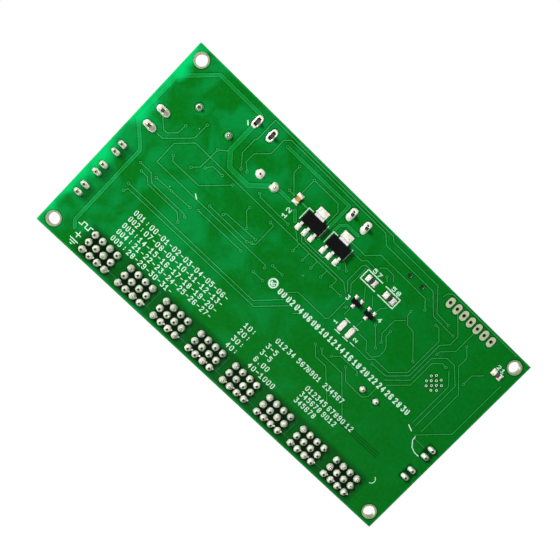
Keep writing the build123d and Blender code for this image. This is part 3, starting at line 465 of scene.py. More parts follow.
def grown(points, by):
    """The outline of some points seen along Z, pushed outwards."""
    flat = [Vector(p[:2]) for p in points]
    hull = [flat[i] for i in convex_hull_2d(flat)]
    middle = sum(hull, Vector((0, 0))) / len(hull)
    return [p + (p - middle).normalized() * by for p in hull]


def disc(x, y, radius, steps=14):
    return [Vector((x + radius * math.cos(t), y + radius * math.sin(t)))
            for t in (2 * math.pi * i / steps for i in range(steps))]


def bar(a, b, half, steps=5):
    """A round-ended bar from a to b, as an outline."""
    along = (b - a).normalized()
    turn = math.atan2(along.y, along.x)
    out = []
    for centre, start in ((b, turn - math.pi / 2), (a, turn + math.pi / 2)):
        for i in range(steps + 1):
            t = start + math.pi * i / steps
            out.append(centre + Vector((math.cos(t), math.sin(t))) * half)
    return out


def box_outline(x0, y0, x1, y1):
    return [Vector(p) for p in ((x0, y0), (x1, y0), (x1, y1), (x0, y1))]


def block_outline(centre, half, grow=0.0):
    return box_outline(centre.x - half.x - grow, centre.y - half.y - grow,
                       centre.x + half.x + grow, centre.y + half.y + grow)


# --- solder mask, in relief over the copper ---
MASK_INSET, POUR_INSET = 0.02, 0.45
TRACK_GAP, CORE_INSET = 0.17, 0.16
USUAL_TRACK, WIDE_TRACK = 0.3, 0.7
OPENING, LAND = 0.1, 0.34
VIA_GAP, VIA_RING, VIA_BORE = 0.62, 0.46, 0.2
MASK_PAINTS = [mask_pour, mask_trace, mask_gap, looks["via_bore"], mask_wide, mask_rim, pad_tin]
POUR, TRACE, GAP, BORE, WIDE, RIM, TIN = range(len(MASK_PAINTS))


def under(x, y):
    """A place on the underside, on a 120 by 60 grid from its upper left corner as seen from below."""
    return Vector((high.x - x * length / 120, high.y - y * width / 60))


def routes_of(lines):
    """Each line is a track's points on the underside, after its width if that isn't the usual one.

    A star marks a via. A line of one point is a via without a track."""
    tracks, vias, lone = [], [], []
    for line in lines.strip().split("\n"):
        words = line.split()
        track = USUAL_TRACK if "," in words[0] else float(words.pop(0))
        path = []
        for word in words:
            path.append(under(*(float(v) for v in word.strip("*").split(","))))
            if word[0] == "*":
                vias.append(path[-1])
        if len(path) > 1:
            tracks.append((track, path))
        else:
            lone += path
    return tracks, vias, lone


def level_of(held):
    """The height over the board and the paint of a patch, from the kinds of outline around it."""
    if "open" in held or "board" not in held:
        return None, POUR
    if "bore" in held:
        return 0.006, BORE
    if "pad" in held:
        return 0.035, TIN
    if "copper" in held:
        return 0.056, WIDE if "core" in held else TRACE
    if "gap" in held:
        return 0.014, GAP
    if "pour" not in held:
        return 0.014, RIM
    return 0.050, POUR


def relief(name, side, tracks, vias, openings, lands, bare=(), pads=(), bores=()):
    """The mask over one face. side is -1 for the underside.

    Both lands and bare have no pour; openings show the board, pads are tinned, bores are painted dark shade."""
    outlines, kinds = [], []

    def add(kind, *found):
        outlines.extend(found)
        kinds.extend([kind] * len(found))

    for kind, inset in (("board", MASK_INSET), ("pour", POUR_INSET)):
        add(kind, box_outline(low.x + inset, low.y + inset, high.x - inset, high.y - inset))
    for kind, found in (("gap", bare), ("gap", lands), ("open", openings), ("pad", pads), ("bore", bores)):
        add(kind, *found)
    for track, path in tracks:
        for a, b in zip(path, path[1:]):
            if (b - a).length > 1e-6:
                add("gap", bar(a, b, track / 2 + TRACK_GAP))
                add("copper", bar(a, b, track / 2))
                if track > WIDE_TRACK:
                    add("core", bar(a, b, track / 2 - CORE_INSET))
    for v in vias:
        add("gap", disc(v.x, v.y, VIA_GAP))
        add("copper", disc(v.x, v.y, VIA_RING))
        # Painted shade: the via's bore is sunk a little and painted dark green for the shade in its hole.
        add("bore", disc(v.x, v.y, VIA_BORE, 8))
    points, polygons = [], []
    for outline in outlines:
        polygons.append(list(range(len(points), len(points) + len(outline))))
        points += outline
    spots, _, faces, _, _, owners = delaunay_2d_cdt(points, [], polygons, 1, 1e-4, True)
    reach = [[pick(p[i] for p in o) for pick in (min, max) for i in (0, 1)] for o in outlines]
    level, paint = [], []
    for face, who in zip(faces, owners):
        x, y = sum((spots[i] for i in face), Vector((0, 0))) / len(face)
        held = {kinds[i] for i in who if reach[i][0] <= x <= reach[i][2] and reach[i][1] <= y <= reach[i][3]}
        found = level_of(held)
        level.append(found[0])
        paint.append(found[1])
    floor = face_height(side)
    corners, made, out, colours, sides = {}, [], [], [], {}

    def corner(i, h):
        if (i, h) not in corners:
            corners[i, h] = len(made)
            made.append((spots[i].x, spots[i].y, floor + side * h))
        return corners[i, h]

    def close(ring, colour):
        out.append(ring if side > 0 else ring[::-1])
        colours.append(colour)

    for k, face in enumerate(faces):
        if level[k] is None:
            continue
        close([corner(i, level[k]) for i in face], paint[k])
        for a, b in zip(face, face[1:] + face[:1]):
            sides[a, b] = k
    for (a, b), k in sides.items():
        other = sides.get((b, a))
        beyond = 0.0 if other is None else level[other]
        if level[k] > beyond:
            close([corner(a, level[k]), corner(a, beyond), corner(b, beyond), corner(b, level[k])], GAP)
    return piece(name, made, out, MASK_PAINTS, colours)


UNDER_TRACKS = """
1.0 23,2.4 9,2.4 1.3,10 1.3,24 4.6,27 7.2,29.5 7.2,53.5 8.5,55
1.3 23.6,6 23.6,14 26.5,17.2 33,17.2 37,13.6
23.3,14.5 *21.2,16.1 21.2,18.5 21,22.2 *19.4,23.8
*15.1,13.5 15,18 11.7,21.2 9.2,23.6 6.7,23.6
5.5,19.5 8,21.8 9.2,21.8 11.1,19.9 *11.3,17.3
52,18.7 16,18.7 12.2,22.5 12.2,28.7 50.3,28.7 *50.6,29.3
*22.1,21.5 23.2,19.9 *26.5,19.9
*30.1,19.8 24,25.8 15,25.9 *14.1,24.8
*28.8,15.5 26.2,12.3 26.2,7.8 26.6,7.3 26.6,0.8 69,0.8 70.2,1.8 86.5,1.8 91.5,7 *96,7.2
*30.4,14.9 28.5,13.3 28.5,10.5 31.6,7.5 31.6,2.9 33,1.6 67,1.6 69.3,3.7 86.6,3.7 91.4,8.2 *98.9,8.3
0.9 *33.4,3.4 55.3,3.2 55.3,14.5
*39.1,4.8 39.1,6.9 43.2,11
44.2,9 *44.2,4.7 52.7,4.7 54.3,6.3 54.3,10.5
*41.4,10.8 43.2,11
0.5 46,10.9 48.3,10.9
1.0 39,12.6 43.5,12.6
1.0 46,13.5 48,15.5
*36.5,16.6 37.3,17.2 *47.1,17.2
49.2,16.6 51.8,18.5
51.5,16.6 52.8,18 68,17.9 70.5,19.7
52.7,15 52.8,16.8 53.4,17.2 59.5,17.2 60,16.7
52,18.8 66.3,18.8
52.8,18.8 *52.8,21.2
56.3,18.8 *56.3,21.2
59.3,18.8 *59.3,21.2
62.8,18.8 *62.8,21.1
66.4,18.8 *66.4,21 *70,21
*43.6,20 44.8,20 44.8,26.6 44,27.3
*37.1,20.9 37.1,22 *40.3,25.2
*33.5,26.8 33.9,26.1 *43.9,25.7
*43.8,27 *42.7,27.6 *29.5,27.6
*28.2,30.4 *43.2,30.3
*51.7,27.5 *55.2,27.5
*49.2,32 *52.6,32
0.8 62.3,7 58.3,7 56.9,8.5 56.9,10.5
62.3,9.3 67.2,9.3 70.1,6.4 86.5,6.4 *88.6,8.6
63.8,10.9 67.5,10.9 68.5,9.8 71,9.8
72.2,9 73.5,7.8 76.2,7.8 77.4,9.2
*75.2,9.3 76.2,10.2
70.5,10.8 69,11 68.5,11.8 68.5,17 70.5,19
69.8,11.5 69.8,17 71.5,18.8
64.5,14 *66.5,15.4
*64.6,16.2 63.2,16.6
73,15 75,17.3
76,15.3 78,17.3
81,15 79.8,16.5 79.7,18
71.9,21 71.9,27.2 71.3,27.9 61.3,27.9 59.3,29.9
59.9,31.9 54.4,37.4 *10.7,37.5
62.5,31.6 55.6,38.4 11.6,38.6 *11,39.7
70.5,30.7 66.3,30.7 64.2,32.8
74.1,21.8 74.1,23.8
78.7,21.8 78.7,24
*73.2,22 72.6,22.6
*82,20.2 *86.4,24.5
*86.2,11.3 86.3,12.6 88.2,14.5 90.5,14.7 *96.1,20.3
86.9,13.9 84.8,16 84.8,20.5 *86.4,22.4
*86.1,18.7 86.2,20.4 88,22.2 88.6,23.3 88.6,25.3 87.3,26.9 85.3,26.9 83.3,24.7 80.5,24.7
80,27.9 87.3,27.9 88.2,26.7 93.6,26.7 97.2,23.2 97.2,11.8 94.6,9.3 *93.6,9.4
*88.7,28.1 93.6,27.9 98.1,23.6 98.1,12.4 100,10.5 100,7.6 95.5,3.3
94,29 99.1,24.3 99.1,16.3 102,13.5 104.8,13.5 109,17.3 109,32
95.5,29.5 100.1,25.2 100.1,17.2 102.2,15.3 *103.6,15.4
104.8,15.5 107.8,18.5 107.8,32
102.4,4.4 102.4,10.6 99.4,13.6 *99.3,14.6
*103.6,7.8 105.8,9.9 105.8,12.9 111.3,18.2 111.3,32
112.6,10 110.2,12.3 *110.2,15.4
89.6,2.8 89.9,1.5 91,0.6 115,0.6
117.8,9 117.8,26.8 110.5,34
*9.4,31.7 13,31.7 15,33.5 26,33.5 *26.9,34
*11,33.1 13.1,33.1 14.4,34.4 24.6,34.4 *26.5,36.1
*14.8,31.7 *19.9,31.5 *26.2,31.3
*35.6,52.4 35.6,57.3
*60.4,52.7 60.4,57.3
*85.3,53 85.3,57.3
10,57.3 108,57.3
*79.5,33.9 81.3,32.2 87.5,32.2 *87.9,32.8
*84.2,33.3 87,36.1 93,36.2 94.2,34.9 94.2,31.8
*76.3,34.2 77.3,35.2 84.7,35.2 94.6,45
*74.2,34.4 76.5,36.8 80.3,36.8 88,44
111.3,34.5 115,34.5
0.5 117.2,33.8 117.2,36
*103.3,18.6
*105.1,18.6
*102.4,19.6
*104.3,19.6
*106.2,19.6
*103.3,20.5
*105.2,20.5
*102.4,21.4
*104.3,21.4
*106.2,21.4
*103.3,22.4
*105.1,22.4
"""


FOOT_LOW, FOOT_HIGH = -0.06, 0.17


def feet_of(names, side):
    """Where the leads and chip ends on one face stand.

    Each is its centre, half size, way out from the body, height and CAD node."""
    face = face_height(side)
    bodies = []
    for name in ("chip_resistors", "chip_capacitors", "status_lamps", "voltage_regulators", "reset_transistors",
                 "interface_chips", "switch_cases", "usb_shell"):
        bodies += [(a + b) / 2 for a, b in spans(name) if side * ((a.z + b.z) / 2 - face) > 0]
    found = []
    for name in names:
        for solid in islands(name):
            foot = [p for p in solid if FOOT_LOW < side * (p[2] - face) < FOOT_HIGH]
            if not foot:
                continue
            a, b = span(foot)
            middle, half = (a + b) / 2, (b - a) / 2
            away = middle - min(bodies, key=lambda c: (c - middle).length)
            out = Vector((math.copysign(1, away.x), 0, 0))
            if abs(away.x) <= abs(away.y):
                out = Vector((0, math.copysign(1, away.y), 0))
            tall = max(side * (p[2] - face) for p in solid)
            found.append((middle, half, out, tall, name))
    return found


def pad_under(middle, half, out, ahead, beside):
    """The pad a foot stands on, reaching further out from the body."""
    along, across = Vector((abs(out.x), abs(out.y), 0)), Vector((abs(out.y), abs(out.x), 0))
    return middle + out * (ahead - 0.1) / 2, half + along * (ahead + 0.1) / 2 + across * beside


def clear_of(names, side):
    """The mask's openings round what comes through one face, and wider lands that have no pour."""
    rims = [[p for p in solid if side * (p[2] - face_height(side)) > -0.02]
            for name in names for solid in islands(name)]
    return [[grown(rim, by) for rim in rims if rim] for by in (OPENING, LAND)]


through = ("mounting_hole_plating", "expansion_header_pads")
rear_openings, rear_lands = clear_of(("solder_joints", "test_pads", *through), -1)
rear_pads, peg_shade_rims = [], []
usb_middle = sum(v.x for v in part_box("usb_shell")) / 2 / MM
usb_pegs = [p for solid in islands("usb_insert") for p in solid if p[2] < top - 0.1]
for way in (-1, 1):
    peg = [p for p in usb_pegs if way * (p[0] - usb_middle) > 0]
    rear_openings.append(grown(peg, 0.08))
    # Painted shade: a dark ring round each peg for the shade in its hole.
    peg_shade_rims.append(grown(peg, 0.30))
rear_feet = []
for middle, half, out, tall, name in feet_of(("rear_leads", "chip_terminals"), -1):
    lead = name == "rear_leads"
    wide = lead and half.x > 1.2
    if wide:
        ahead = 1.0
    elif middle.x > 12:
        ahead = 0.55
    elif lead:
        ahead = 0.75 if half.x > 0.3 else 0.5
    else:
        ahead = 0.95 if 18 < abs(middle.x) < 34 else 0.7
    centre, size = pad_under(middle, half, out, ahead, 0.12 if wide else 0.28)
    rear_feet.append((centre, size, out, tall, name))
    rear_pads.append(block_outline(centre, size))
    rear_lands.append(block_outline(centre, size, 0.18))
under_tracks, under_vias, bare_vias = routes_of(UNDER_TRACKS)
rear_pads += [disc(v.x, v.y, 0.33) for v in bare_vias]
split = [bar(under(90.5, y), under(107.5, y), 0.13) for y in (43.95, 44.6, 45.25)]
relief("mask_underside", -1, under_tracks, under_vias, rear_openings, rear_lands, split, rear_pads, peg_shade_rims)

# --- solder joints ---
chance = random.Random(32)
AROUND, RINGS = 26, 8
MOUND_FACES = AROUND * RINGS + 1
# The third tone takes a near-black colour: painted shade in slots and pits.
BRIGHT, DULL, HOLLOW_SHADE = range(3)


class Solder:
    """Mounds of solder on one face of the board, gathered into one mesh."""

    def __init__(self, side):
        self.side, self.points, self.faces, self.tones = side, [], [], []

    def joint(self, middle, reach, core, height, power=0.9, lumps=(), dish=0.0, slot=None):
        """Adds one mound. reach(angle) is its pad's edge, core the pin's half width.

        slot(angle), if given, is the edge of a long open hole round the pin."""
        floor, first = face_height(self.side), len(self.points)
        wobble = [chance.uniform(-0.05, 0.05) for _ in range(5)]
        for k in range(RINGS + 1):
            u = k / RINGS
            for i in range(AROUND):
                t = 2 * math.pi * i / AROUND
                edge = reach(t) * (1 + sum(w * math.cos((j + 1) * t + 9 * w) for j, w in enumerate(wobble)))
                start = slot(t) if slot else core
                r = start + (edge - start) * u
                x, y = r * math.cos(t), r * math.sin(t)
                h = height * ((1 - u) ** power - dish * (1 - u) ** 4)
                for lx, ly, size, more in lumps:
                    h += more * math.exp(-((x - lx) ** 2 + (y - ly) ** 2) / size ** 2) * (1 - u ** 5)
                lift = max(h, 0.0) + (0.0 if k == RINGS else 0.02)
                self.points.append((middle.x + x, middle.y + y, floor + self.side * lift))
        for k in range(RINGS):
            for i in range(AROUND):
                a, b = first + k * AROUND + i, first + k * AROUND + (i + 1) % AROUND
                ring = (a, b, b + AROUND, a + AROUND)
                self.faces.append(ring if self.side < 0 else ring[::-1])
        cap = tuple(first + i for i in range(AROUND))
        self.faces.append(cap[::-1] if self.side < 0 else cap)
        self.tones += [BRIGHT] * MOUND_FACES

    def build(self, name, materials):
        return piece(name, self.points, self.faces, materials, self.tones, smooth=True)


def oval(a, b, power=2.0):
    """The edge of an oval pad with half lengths a and b, as a reach for each angle."""
    return lambda t: (abs(math.cos(t) / a) ** power + abs(math.sin(t) / b) ** power) ** (-1 / power)


rear_solder = Solder(-1)
pin_reach = -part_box("servo_header_pins")[0].z / MM
lead_reach = -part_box("component_leads")[0].z / MM
servo_pins = spans("servo_header_pins")
last_row = min(a.y + b.y for a, b in servo_pins) / 2
for a, b in spans("solder_joints"):
    middle, half, deep = (a + b) / 2, (b - a) / 2, b.z - a.z
    even = abs(half.x - half.y) < 0.1
    upright = half.y > half.x * 1.5
    edge = oval(half.x, half.y, 2.0 if even else 3.0)
    lumps, core, height, power, dish, slot = [], 0.36, deep, chance.uniform(0.5, 0.85), 0.0, None
    if even and half.x < 1.0 and middle.y < header_high.y + 1:
        height = deep * chance.uniform(0.72, 0.98)
        if chance.random() < 0.30:
            core, height, power = 0.10, pin_reach + 0.06, 0.5
        t = chance.uniform(0, 6.28)
        lumps = [(0.5 * math.cos(t), 0.5 * math.sin(t), 0.35, chance.uniform(-0.12, 0.10))]
        rear_solder.joint(middle, edge, core, height, power, lumps)
        if abs(middle.y - last_row) < 0.3:
            ear = middle + Vector((-0.98 + chance.uniform(-0.1, 0.1), 0.34 + chance.uniform(-0.12, 0.12), 0))
            rear_solder.joint(ear, oval(0.34, 0.27), 0.05, 0.2, 0.6)
        continue
    if half.x > half.y * 1.5 and half.x < 1.6:
        edge = oval(half.x * 0.86, half.y, 3.0)
        if middle.x > 0:
            height, lumps = deep * 0.35, [(0.72, 0, 0.42, 0.50), (-0.85, 0.05, 0.34, 0.22)]
        else:
            height, power, lumps = deep * 0.8, 0.5, [(0.35, 0, 0.5, 0.12)]
    elif upright:
        if middle.x > 10:
            height, power, dish, slot = deep * 0.42, 0.45, 1.0, oval(0.47, 1.1, 4.0)
        else:
            core, height, power = 0.46, deep * 0.55, 0.7
            lumps = [(0.1, -0.95, 0.55, 0.34), (0.05, 0.80, 0.4, -0.26)]
    elif half.x > 1.6:
        core, height, power, dish = 0.46, deep * 0.36, 0.5, 0.6
        lumps = [(-0.78, 0.1, 0.62, 0.48), (1.1, 0, 0.4, 0.10)]
    elif middle.x > 45:
        edge = oval(half.x * 0.78, half.y * 0.78)
        core, height, power, dish = 0.40, deep * 0.35, 0.6, 0.9
    elif 20 < middle.x < 30:
        edge = oval(1.3, 1.3)
        core, height, power = 0.26, deep * 0.85, 0.6
        if middle.x < 24:
            core, height, lumps = 0.12, lead_reach + 0.05, [(0.55, -0.35, 0.3, -0.3), (-0.4, 0.5, 0.3, -0.16)]
    else:
        core, height, power = 0.2, deep * 0.98, 0.5
        if middle.x > 30:
            edge, core, height = oval(half.x * 0.8, half.y * 0.8), 0.12, lead_reach + 0.05
    rear_solder.joint(middle, edge, core, height, power, lumps, dish, slot)
    # Painted shade: a slot's inner ring and floor take the near-black tone.
    if slot:
        rear_solder.tones[-MOUND_FACES:] = [HOLLOW_SHADE] * AROUND + [BRIGHT] * AROUND * (RINGS - 1) + [HOLLOW_SHADE]
    elif half.x > 1.6 or (middle.x > 45 and half.x < 1.1 and even and middle.y > 10):
        rear_solder.tones[-MOUND_FACES:] = [DULL] * AROUND * (RINGS - 2) + [BRIGHT] * AROUND * 2 + [DULL]
    elif upright:
        # Painted shade: a near-black spot in the dip near the mound's +Y end.
        pit = Vector((middle.x + 0.05, middle.y + 0.85))
        for k in range(-MOUND_FACES, 0):
            face = rear_solder.faces[k]
            at = sum((Vector(rear_solder.points[i][:2]) for i in face), Vector((0, 0))) / len(face)
            if (at - pit).length < 0.3:
                rear_solder.tones[k] = HOLLOW_SHADE
for centre, size, out, tall, name in rear_feet:
    heap = min(tall * 0.72, 0.42) if name == "chip_terminals" else 0.26
    rear_solder.joint(centre, oval(size.x * 0.97, size.y * 0.97, 5.0), min(size.x, size.y) * 0.5, heap, 0.8,
                      [(out.x * size.x * 0.4, out.y * size.y * 0.4, 0.4, chance.uniform(-0.05, 0.08))])
mounds = rear_solder.build("solder_mounds", [solder, solder_dull, looks["bore_film"]])
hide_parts("solder_joints")

# A near-black disc half way down each bore of the empty expansion header: painted shade for the inside of the
# hole.
hole_shade_points, hole_shade_faces = [], []
for solid in islands("expansion_header_pads"):
    middle = sum(span(solid), Vector()) / 2
    bore = min((Vector(p[:2]) - middle.xy).length for p in solid)
    ring = disc(middle.x, middle.y, bore - 0.01, 24)
    first, n = len(hole_shade_points), len(ring)
    hole_shade_points += [(p.x, p.y, top / 2 + h) for h in (-0.04, 0.04) for p in ring]
    hole_shade_faces += [tuple(first + i for i in reversed(range(n))), tuple(first + n + i for i in range(n))]
    hole_shade_faces += [(first + i, first + (i + 1) % n, first + n + (i + 1) % n, first + n + i) for i in range(n)]
piece("bore_film", hole_shade_points, hole_shade_faces, [looks["bore_film"]])

# --- printed legend ---
INK, INK_BASE = 0.012, 0.052

# Plotted figures on a grid 4 wide and 6 deep: each stroke is a run of points, across then down.
STROKES = {
    "0": "103041453616050110", "1": "022026/0646", "2": "01103041420646",
    "3": "0040224345361605", "4": "36300444", "5": "400002324345361605",
    "6": "4130100105163645443303", "7": "004016", "8": "103041423313020110/1304051636454433",
    "9": "4313020110304145361605", "-": "0343", ".": "2526", ":": "2122/2425",
}


class Legend:
    """Ink on one face: numbers and plain strokes, gathered into one mesh."""

    def __init__(self, side, place=lambda x, y: Vector((x, y))):
        self.side, self.place = side, place
        self.points, self.faces, self.drawn = [], [], 0
        self.ground = face_height(side) + side * INK_BASE

    def number(self, text, x0, y0, x1, y1, turn=0, thick=0.24):
        """Figures filling the box from (x0, y0) to (x1, y1) on this face's grid. turn 90 reads up the face."""
        wide, tall = (y1 - y0, x1 - x0) if turn else (x1 - x0, y1 - y0)
        cell = (wide + 0.3 * wide / len(text)) / len(text)
        glyph, half = cell * 0.7, thick / 2
        for i, figure in enumerate(text):
            for stroke in STROKES[figure].split("/"):
                path = []
                for across, down in zip(stroke[::2], stroke[1::2]):
                    u = i * cell + half + (glyph - thick) * int(across) / 4
                    v = half + (tall - thick) * int(down) / 6
                    path.append((x0 + v, y1 - u) if turn else (x0 + u, y0 + v))
                self.line(*path, thick=thick)

    def line(self, *path, thick=0.17):
        """A stroke through some places. Strokes that cross differ a little in height."""
        for a, b in zip(path, path[1:]):
            outline = bar(self.place(*a), self.place(*b), thick / 2, 4)
            first, n = len(self.points), len(outline)
            self.drawn += 1
            for lift in (1 - 0.05 * (self.drawn % 7), 0.0):
                self.points += [(p.x, p.y, self.ground + self.side * INK * lift) for p in outline]
            for face in [tuple(range(n))] + [(i, i + n, (i + 1) % n + n, (i + 1) % n) for i in range(n)]:
                self.faces.append(tuple(first + i for i in (face if self.side > 0 else face[::-1])))

    def lines(self, text):
        """Each line of text is a thickness, then the places of a stroke."""
        for line in text.strip().split("\n"):
            thick, *places = line.split()
            self.line(*[[float(v) for v in place.split(",")] for place in places], thick=float(thick))

    def ring(self, x, y, radius, thick=0.2, start=0, end=360, steps=24):
        turn = [math.radians(start + (end - start) * i / steps) for i in range(steps + 1)]
        self.line(*[(x + radius * math.cos(t), y + radius * math.sin(t)) for t in turn], thick=thick)

    def box(self, x0, y0, x1, y1, thick=0.17):
        self.line((x0, y0), (x1, y0), (x1, y1), (x0, y1), (x0, y0), thick=thick)

    def frame(self, a, b, gap, thick=0.17):
        """A box round a part of the component side, from its low and high corners."""
        self.box(a.x - gap, -b.y - gap, b.x + gap, -a.y + gap, thick)

    def build(self, name, look="legend_white", slot="fr4_mask"):
        piece(name, self.points, self.faces, [looks[look]])


rear = Legend(-1, under)
channel = 0
for row, y in enumerate((40.9, 43.0, 45.2, 47.3, 49.5)):
    rear.number(f"00{row + 1}", 16.9, y, 20.2, y + 1.5)
    rear.number(":", 20.8, y, 21.8, y + 1.5)
    x = 22.3
    while x < 49 and channel < 32:
        rear.number(f"{channel:02d}", x, y, x + 2.3, y + 1.5)
        rear.number("-", x + 2.7, y, x + 3.6, y + 1.5, thick=0.2)
        channel += 1
        x += 3.93
for i in range(16):
    rear.number(f"{2 * i:02d}", 57.4 + 3.03 * i, 29.95, 59.8 + 3.03 * i, 31.7, thick=0.36)
rear.ring(55.05, 30.6, 1.15, 0.45)
rear.ring(55.05, 30.6, 0.55, 0.40, 20, 200, 10)
rear.line((54.4, 31.1), (55.7, 30.1), thick=0.3)
rows = ((42.5, "3-5", 68.9), (44.7, "3-5", 68.9), (47.1, "6.00", 70.2), (49.4, "40-1000", 74.4))
for row, (y, text, end) in enumerate(rows):
    rear.number(f"{row + 1}0:", 57.2, y, 61.0, y + 1.5)
    rear.number(text, 65.2, y, end, y + 1.5)
for x, text in ((66.1, "012"), (70.3, "34"), (73.8, "567"), (77.3, "8901"), (83.4, "234567")):
    rear.number(text, x, 39.8, x + 1.17 * len(text), 41.3)
for x, y, text in ((80.6, 43.5, "012345"), (88.6, 43.5, "67890"), (95.4, 43.5, "12"), (80.6, 45.6, "345678"),
                   (88.6, 45.6, "9012"), (80.6, 47.7, "345678")):
    rear.number(text, x, y, x + 1.24 * len(text) - 0.2, y + 1.5)
rear.lines("""
0.26 8.4,53.3 9.3,53.3 9.3,52.2 10.4,52.2 10.4,53.3 11.5,53.3 11.5,52.2 12.3,52.2
0.28 9.6,55.7 11.2,55.7
0.28 10.4,54.9 10.4,56.5
0.26 9.2,57.4 11.7,57.4
0.24 9.7,58 11.2,58
0.24 10.2,58.6 10.7,58.6
""")
for number in (("12", 44.1, 13.9, 45.5, 16.8, 90), ("57", 71.4, 9.7, 74.3, 10.9), ("58", 78.3, 9.7, 81.2, 10.9),
               ("3", 71.2, 19.3, 72.2, 20.7), ("4", 81.4, 17.9, 82.6, 19.2), ("1", 73.1, 26.2, 74.4, 27.0, 90),
               ("2", 80.4, 26.1, 81.7, 27.1, 90), ("21", 113.3, 5.2, 115.9, 6.4)):
    rear.number(*number)
rear.lines("""
0.3 75.6,11.2 70.4,11.2 70.4,14.2 75.6,14.2
0.3 76.8,11.2 82.1,11.2 82.1,14.2 76.8,14.2
""")
for x in (51.7, 60.5):
    rear.line((x - 3.5, 14.1), (x - 3.5, 10.5), (x - 2.1, 10.5), thick=0.26)
    rear.line((x + 3.4, 10.5), (x + 3.4, 14.1), thick=0.26)
for x in (75.9, 78.8):
    for y in (24.3, 28.2):
        rear.line((x - 0.8, y), (x + 0.9, y), thick=0.24)
rear.lines("""
0.2 80.5,28 81.9,28
0.34 21.7,5.7 22.4,6.4
0.3 24.8,27.9 25.9,28.6
""")
rear.ring(110.9, 50.2, 1.1, 0.22, -70, 75, 10)
rear.lines("""
0.3 107.5,32.9 109.2,33.6
0.26 111.1,34 111.3,35.2 112.5,36.6 114,37.2 115.5,37.2
""")
for x, y in ((59.2, 24.0), (14.3, 15.5), (18.8, 31.0), (86.6, 41.7)):
    rear.ring(x, y, 0.03, 0.12, steps=6)
rear.build("legend_underside")


# --- component side ---
class Claimed:
    """A fine grid of the face that says which places already hold a part or a track."""

    def __init__(self, cell=0.3):
        self.cell = cell
        self.columns, self.rows = int(length / cell) + 2, int(width / cell) + 2
        self.used = bytearray(self.columns * self.rows)

    def at(self, p):
        return int((p.y - low.y) / self.cell) * self.columns + int((p.x - low.x) / self.cell)

    def claim(self, x0, y0, x1, y1):
        y = max(y0, low.y)
        while y <= min(y1, high.y):
            x = max(x0, low.x)
            while x <= min(x1, high.x):
                self.used[self.at(Vector((x, y)))] = 1
                x += self.cell
            y += self.cell

    def along(self, path):
        for a, b in zip(path, path[1:]):
            steps = max(1, int((b - a).length / 0.2))
            for i in range(steps + 1):
                yield a.lerp(b, i / steps)

    def free(self, path, margin=1.1):
        return all(low.x + margin < p.x < high.x - margin and low.y + margin < p.y < high.y - margin and
                   not self.used[self.at(p)] for p in self.along(path))

    def take(self, path, by=0.55):
        for p in self.along(path):
            self.claim(p.x - by, p.y - by, p.x + by, p.y + by)


top_feet = feet_of(("surface_leads", "chip_terminals"), 1)
face_map = Claimed()
for name in nodes:
    if name.startswith((
            "servo_header_", "terminal_block_", "jumper_headers", "capacitor_seal", "wifi_module_board",
            "usb_shell", "switch_cases", "interface_chips", "crystal_can", "diode_body", "mounting_hole_plating",
            "expansion_header_pads", "surface_leads", "chip_terminals", "status_lamps", "component_leads")):
        for a, b in spans(name):
            if b.z > top:
                face_map.claim(a.x - 0.5, a.y - 0.5, b.x + 0.5, b.y + 0.5)

TOP_TRACK = 0.25
top_tracks, top_vias = [], []


def route(path, via=True):
    top_tracks.append((TOP_TRACK, path))
    face_map.take(path)
    if via:
        top_vias.append(path[-1])


def by_x(spots):
    return sorted(spots, key=lambda m: m.x)


# Each servo header's signal pins, up to the resistor array behind them.
array_feet = by_x(m for m, h, o, t, n in top_feet if n == "chip_terminals" and m.y < header_high.y + 6)
array_y = sum(m.y for m in array_feet) / len(array_feet)
upper_feet = [m for m in array_feet if m.y > array_y]
lower_feet = [m for m in array_feet if m not in upper_feet]
signal_row = max((a.y + b.y) / 2 for a, b in servo_pins)
signal_pins = sorted((a.x + b.x) / 2 for a, b in servo_pins if abs((a.y + b.y) / 2 - signal_row) < 0.3)
for foot, pin in zip(lower_feet, signal_pins):
    drop = abs(pin - foot.x)
    bend = foot.y - 0.55 - (0.35 if drop < 1.5 else 0.0)
    path = [foot.xy, Vector((foot.x, bend)), Vector((pin, bend - drop)), Vector((pin, header_high.y - 0.5))]
    route(path, via=False)

# The arrays' other ends, in lanes to the driver chip's nearer row of leads.
chips = spans("interface_chips")
drivers = sorted((c for c in chips if (c[0].y + c[1].y) / 2 < 0), key=lambda c: c[0].x)
lane_step, corner = 0.37, 0.25
for a, b in drivers:
    leads = by_x(m for m, h, o, t, n in top_feet
                 if n == "surface_leads" and a.x < m.x < b.x and a.y - 2.5 < m.y < a.y)
    ends = by_x(sorted(upper_feet, key=lambda m: abs(m.x - (a.x + b.x) / 2))[:12])
    for going in (1, -1):
        nets = [(e, l) for e, l in zip(ends, leads[1:13]) if (l.x - e.x) * going > 0]
        for i, (e, l) in enumerate(nets):
            lane = e.y + 0.62 + lane_step * (len(nets) - 1 - i if going > 0 else i)
            if abs(l.x - e.x) < 2.2 * corner:
                bends = [(e.x, lane), (l.x, lane + abs(l.x - e.x))]
            else:
                bends = [(e.x, lane - corner), (e.x + going * corner, lane),
                         (l.x - going * corner, lane), (l.x, lane + corner)]
            route([e.xy, *(Vector(p) for p in bends), l.xy], via=False)

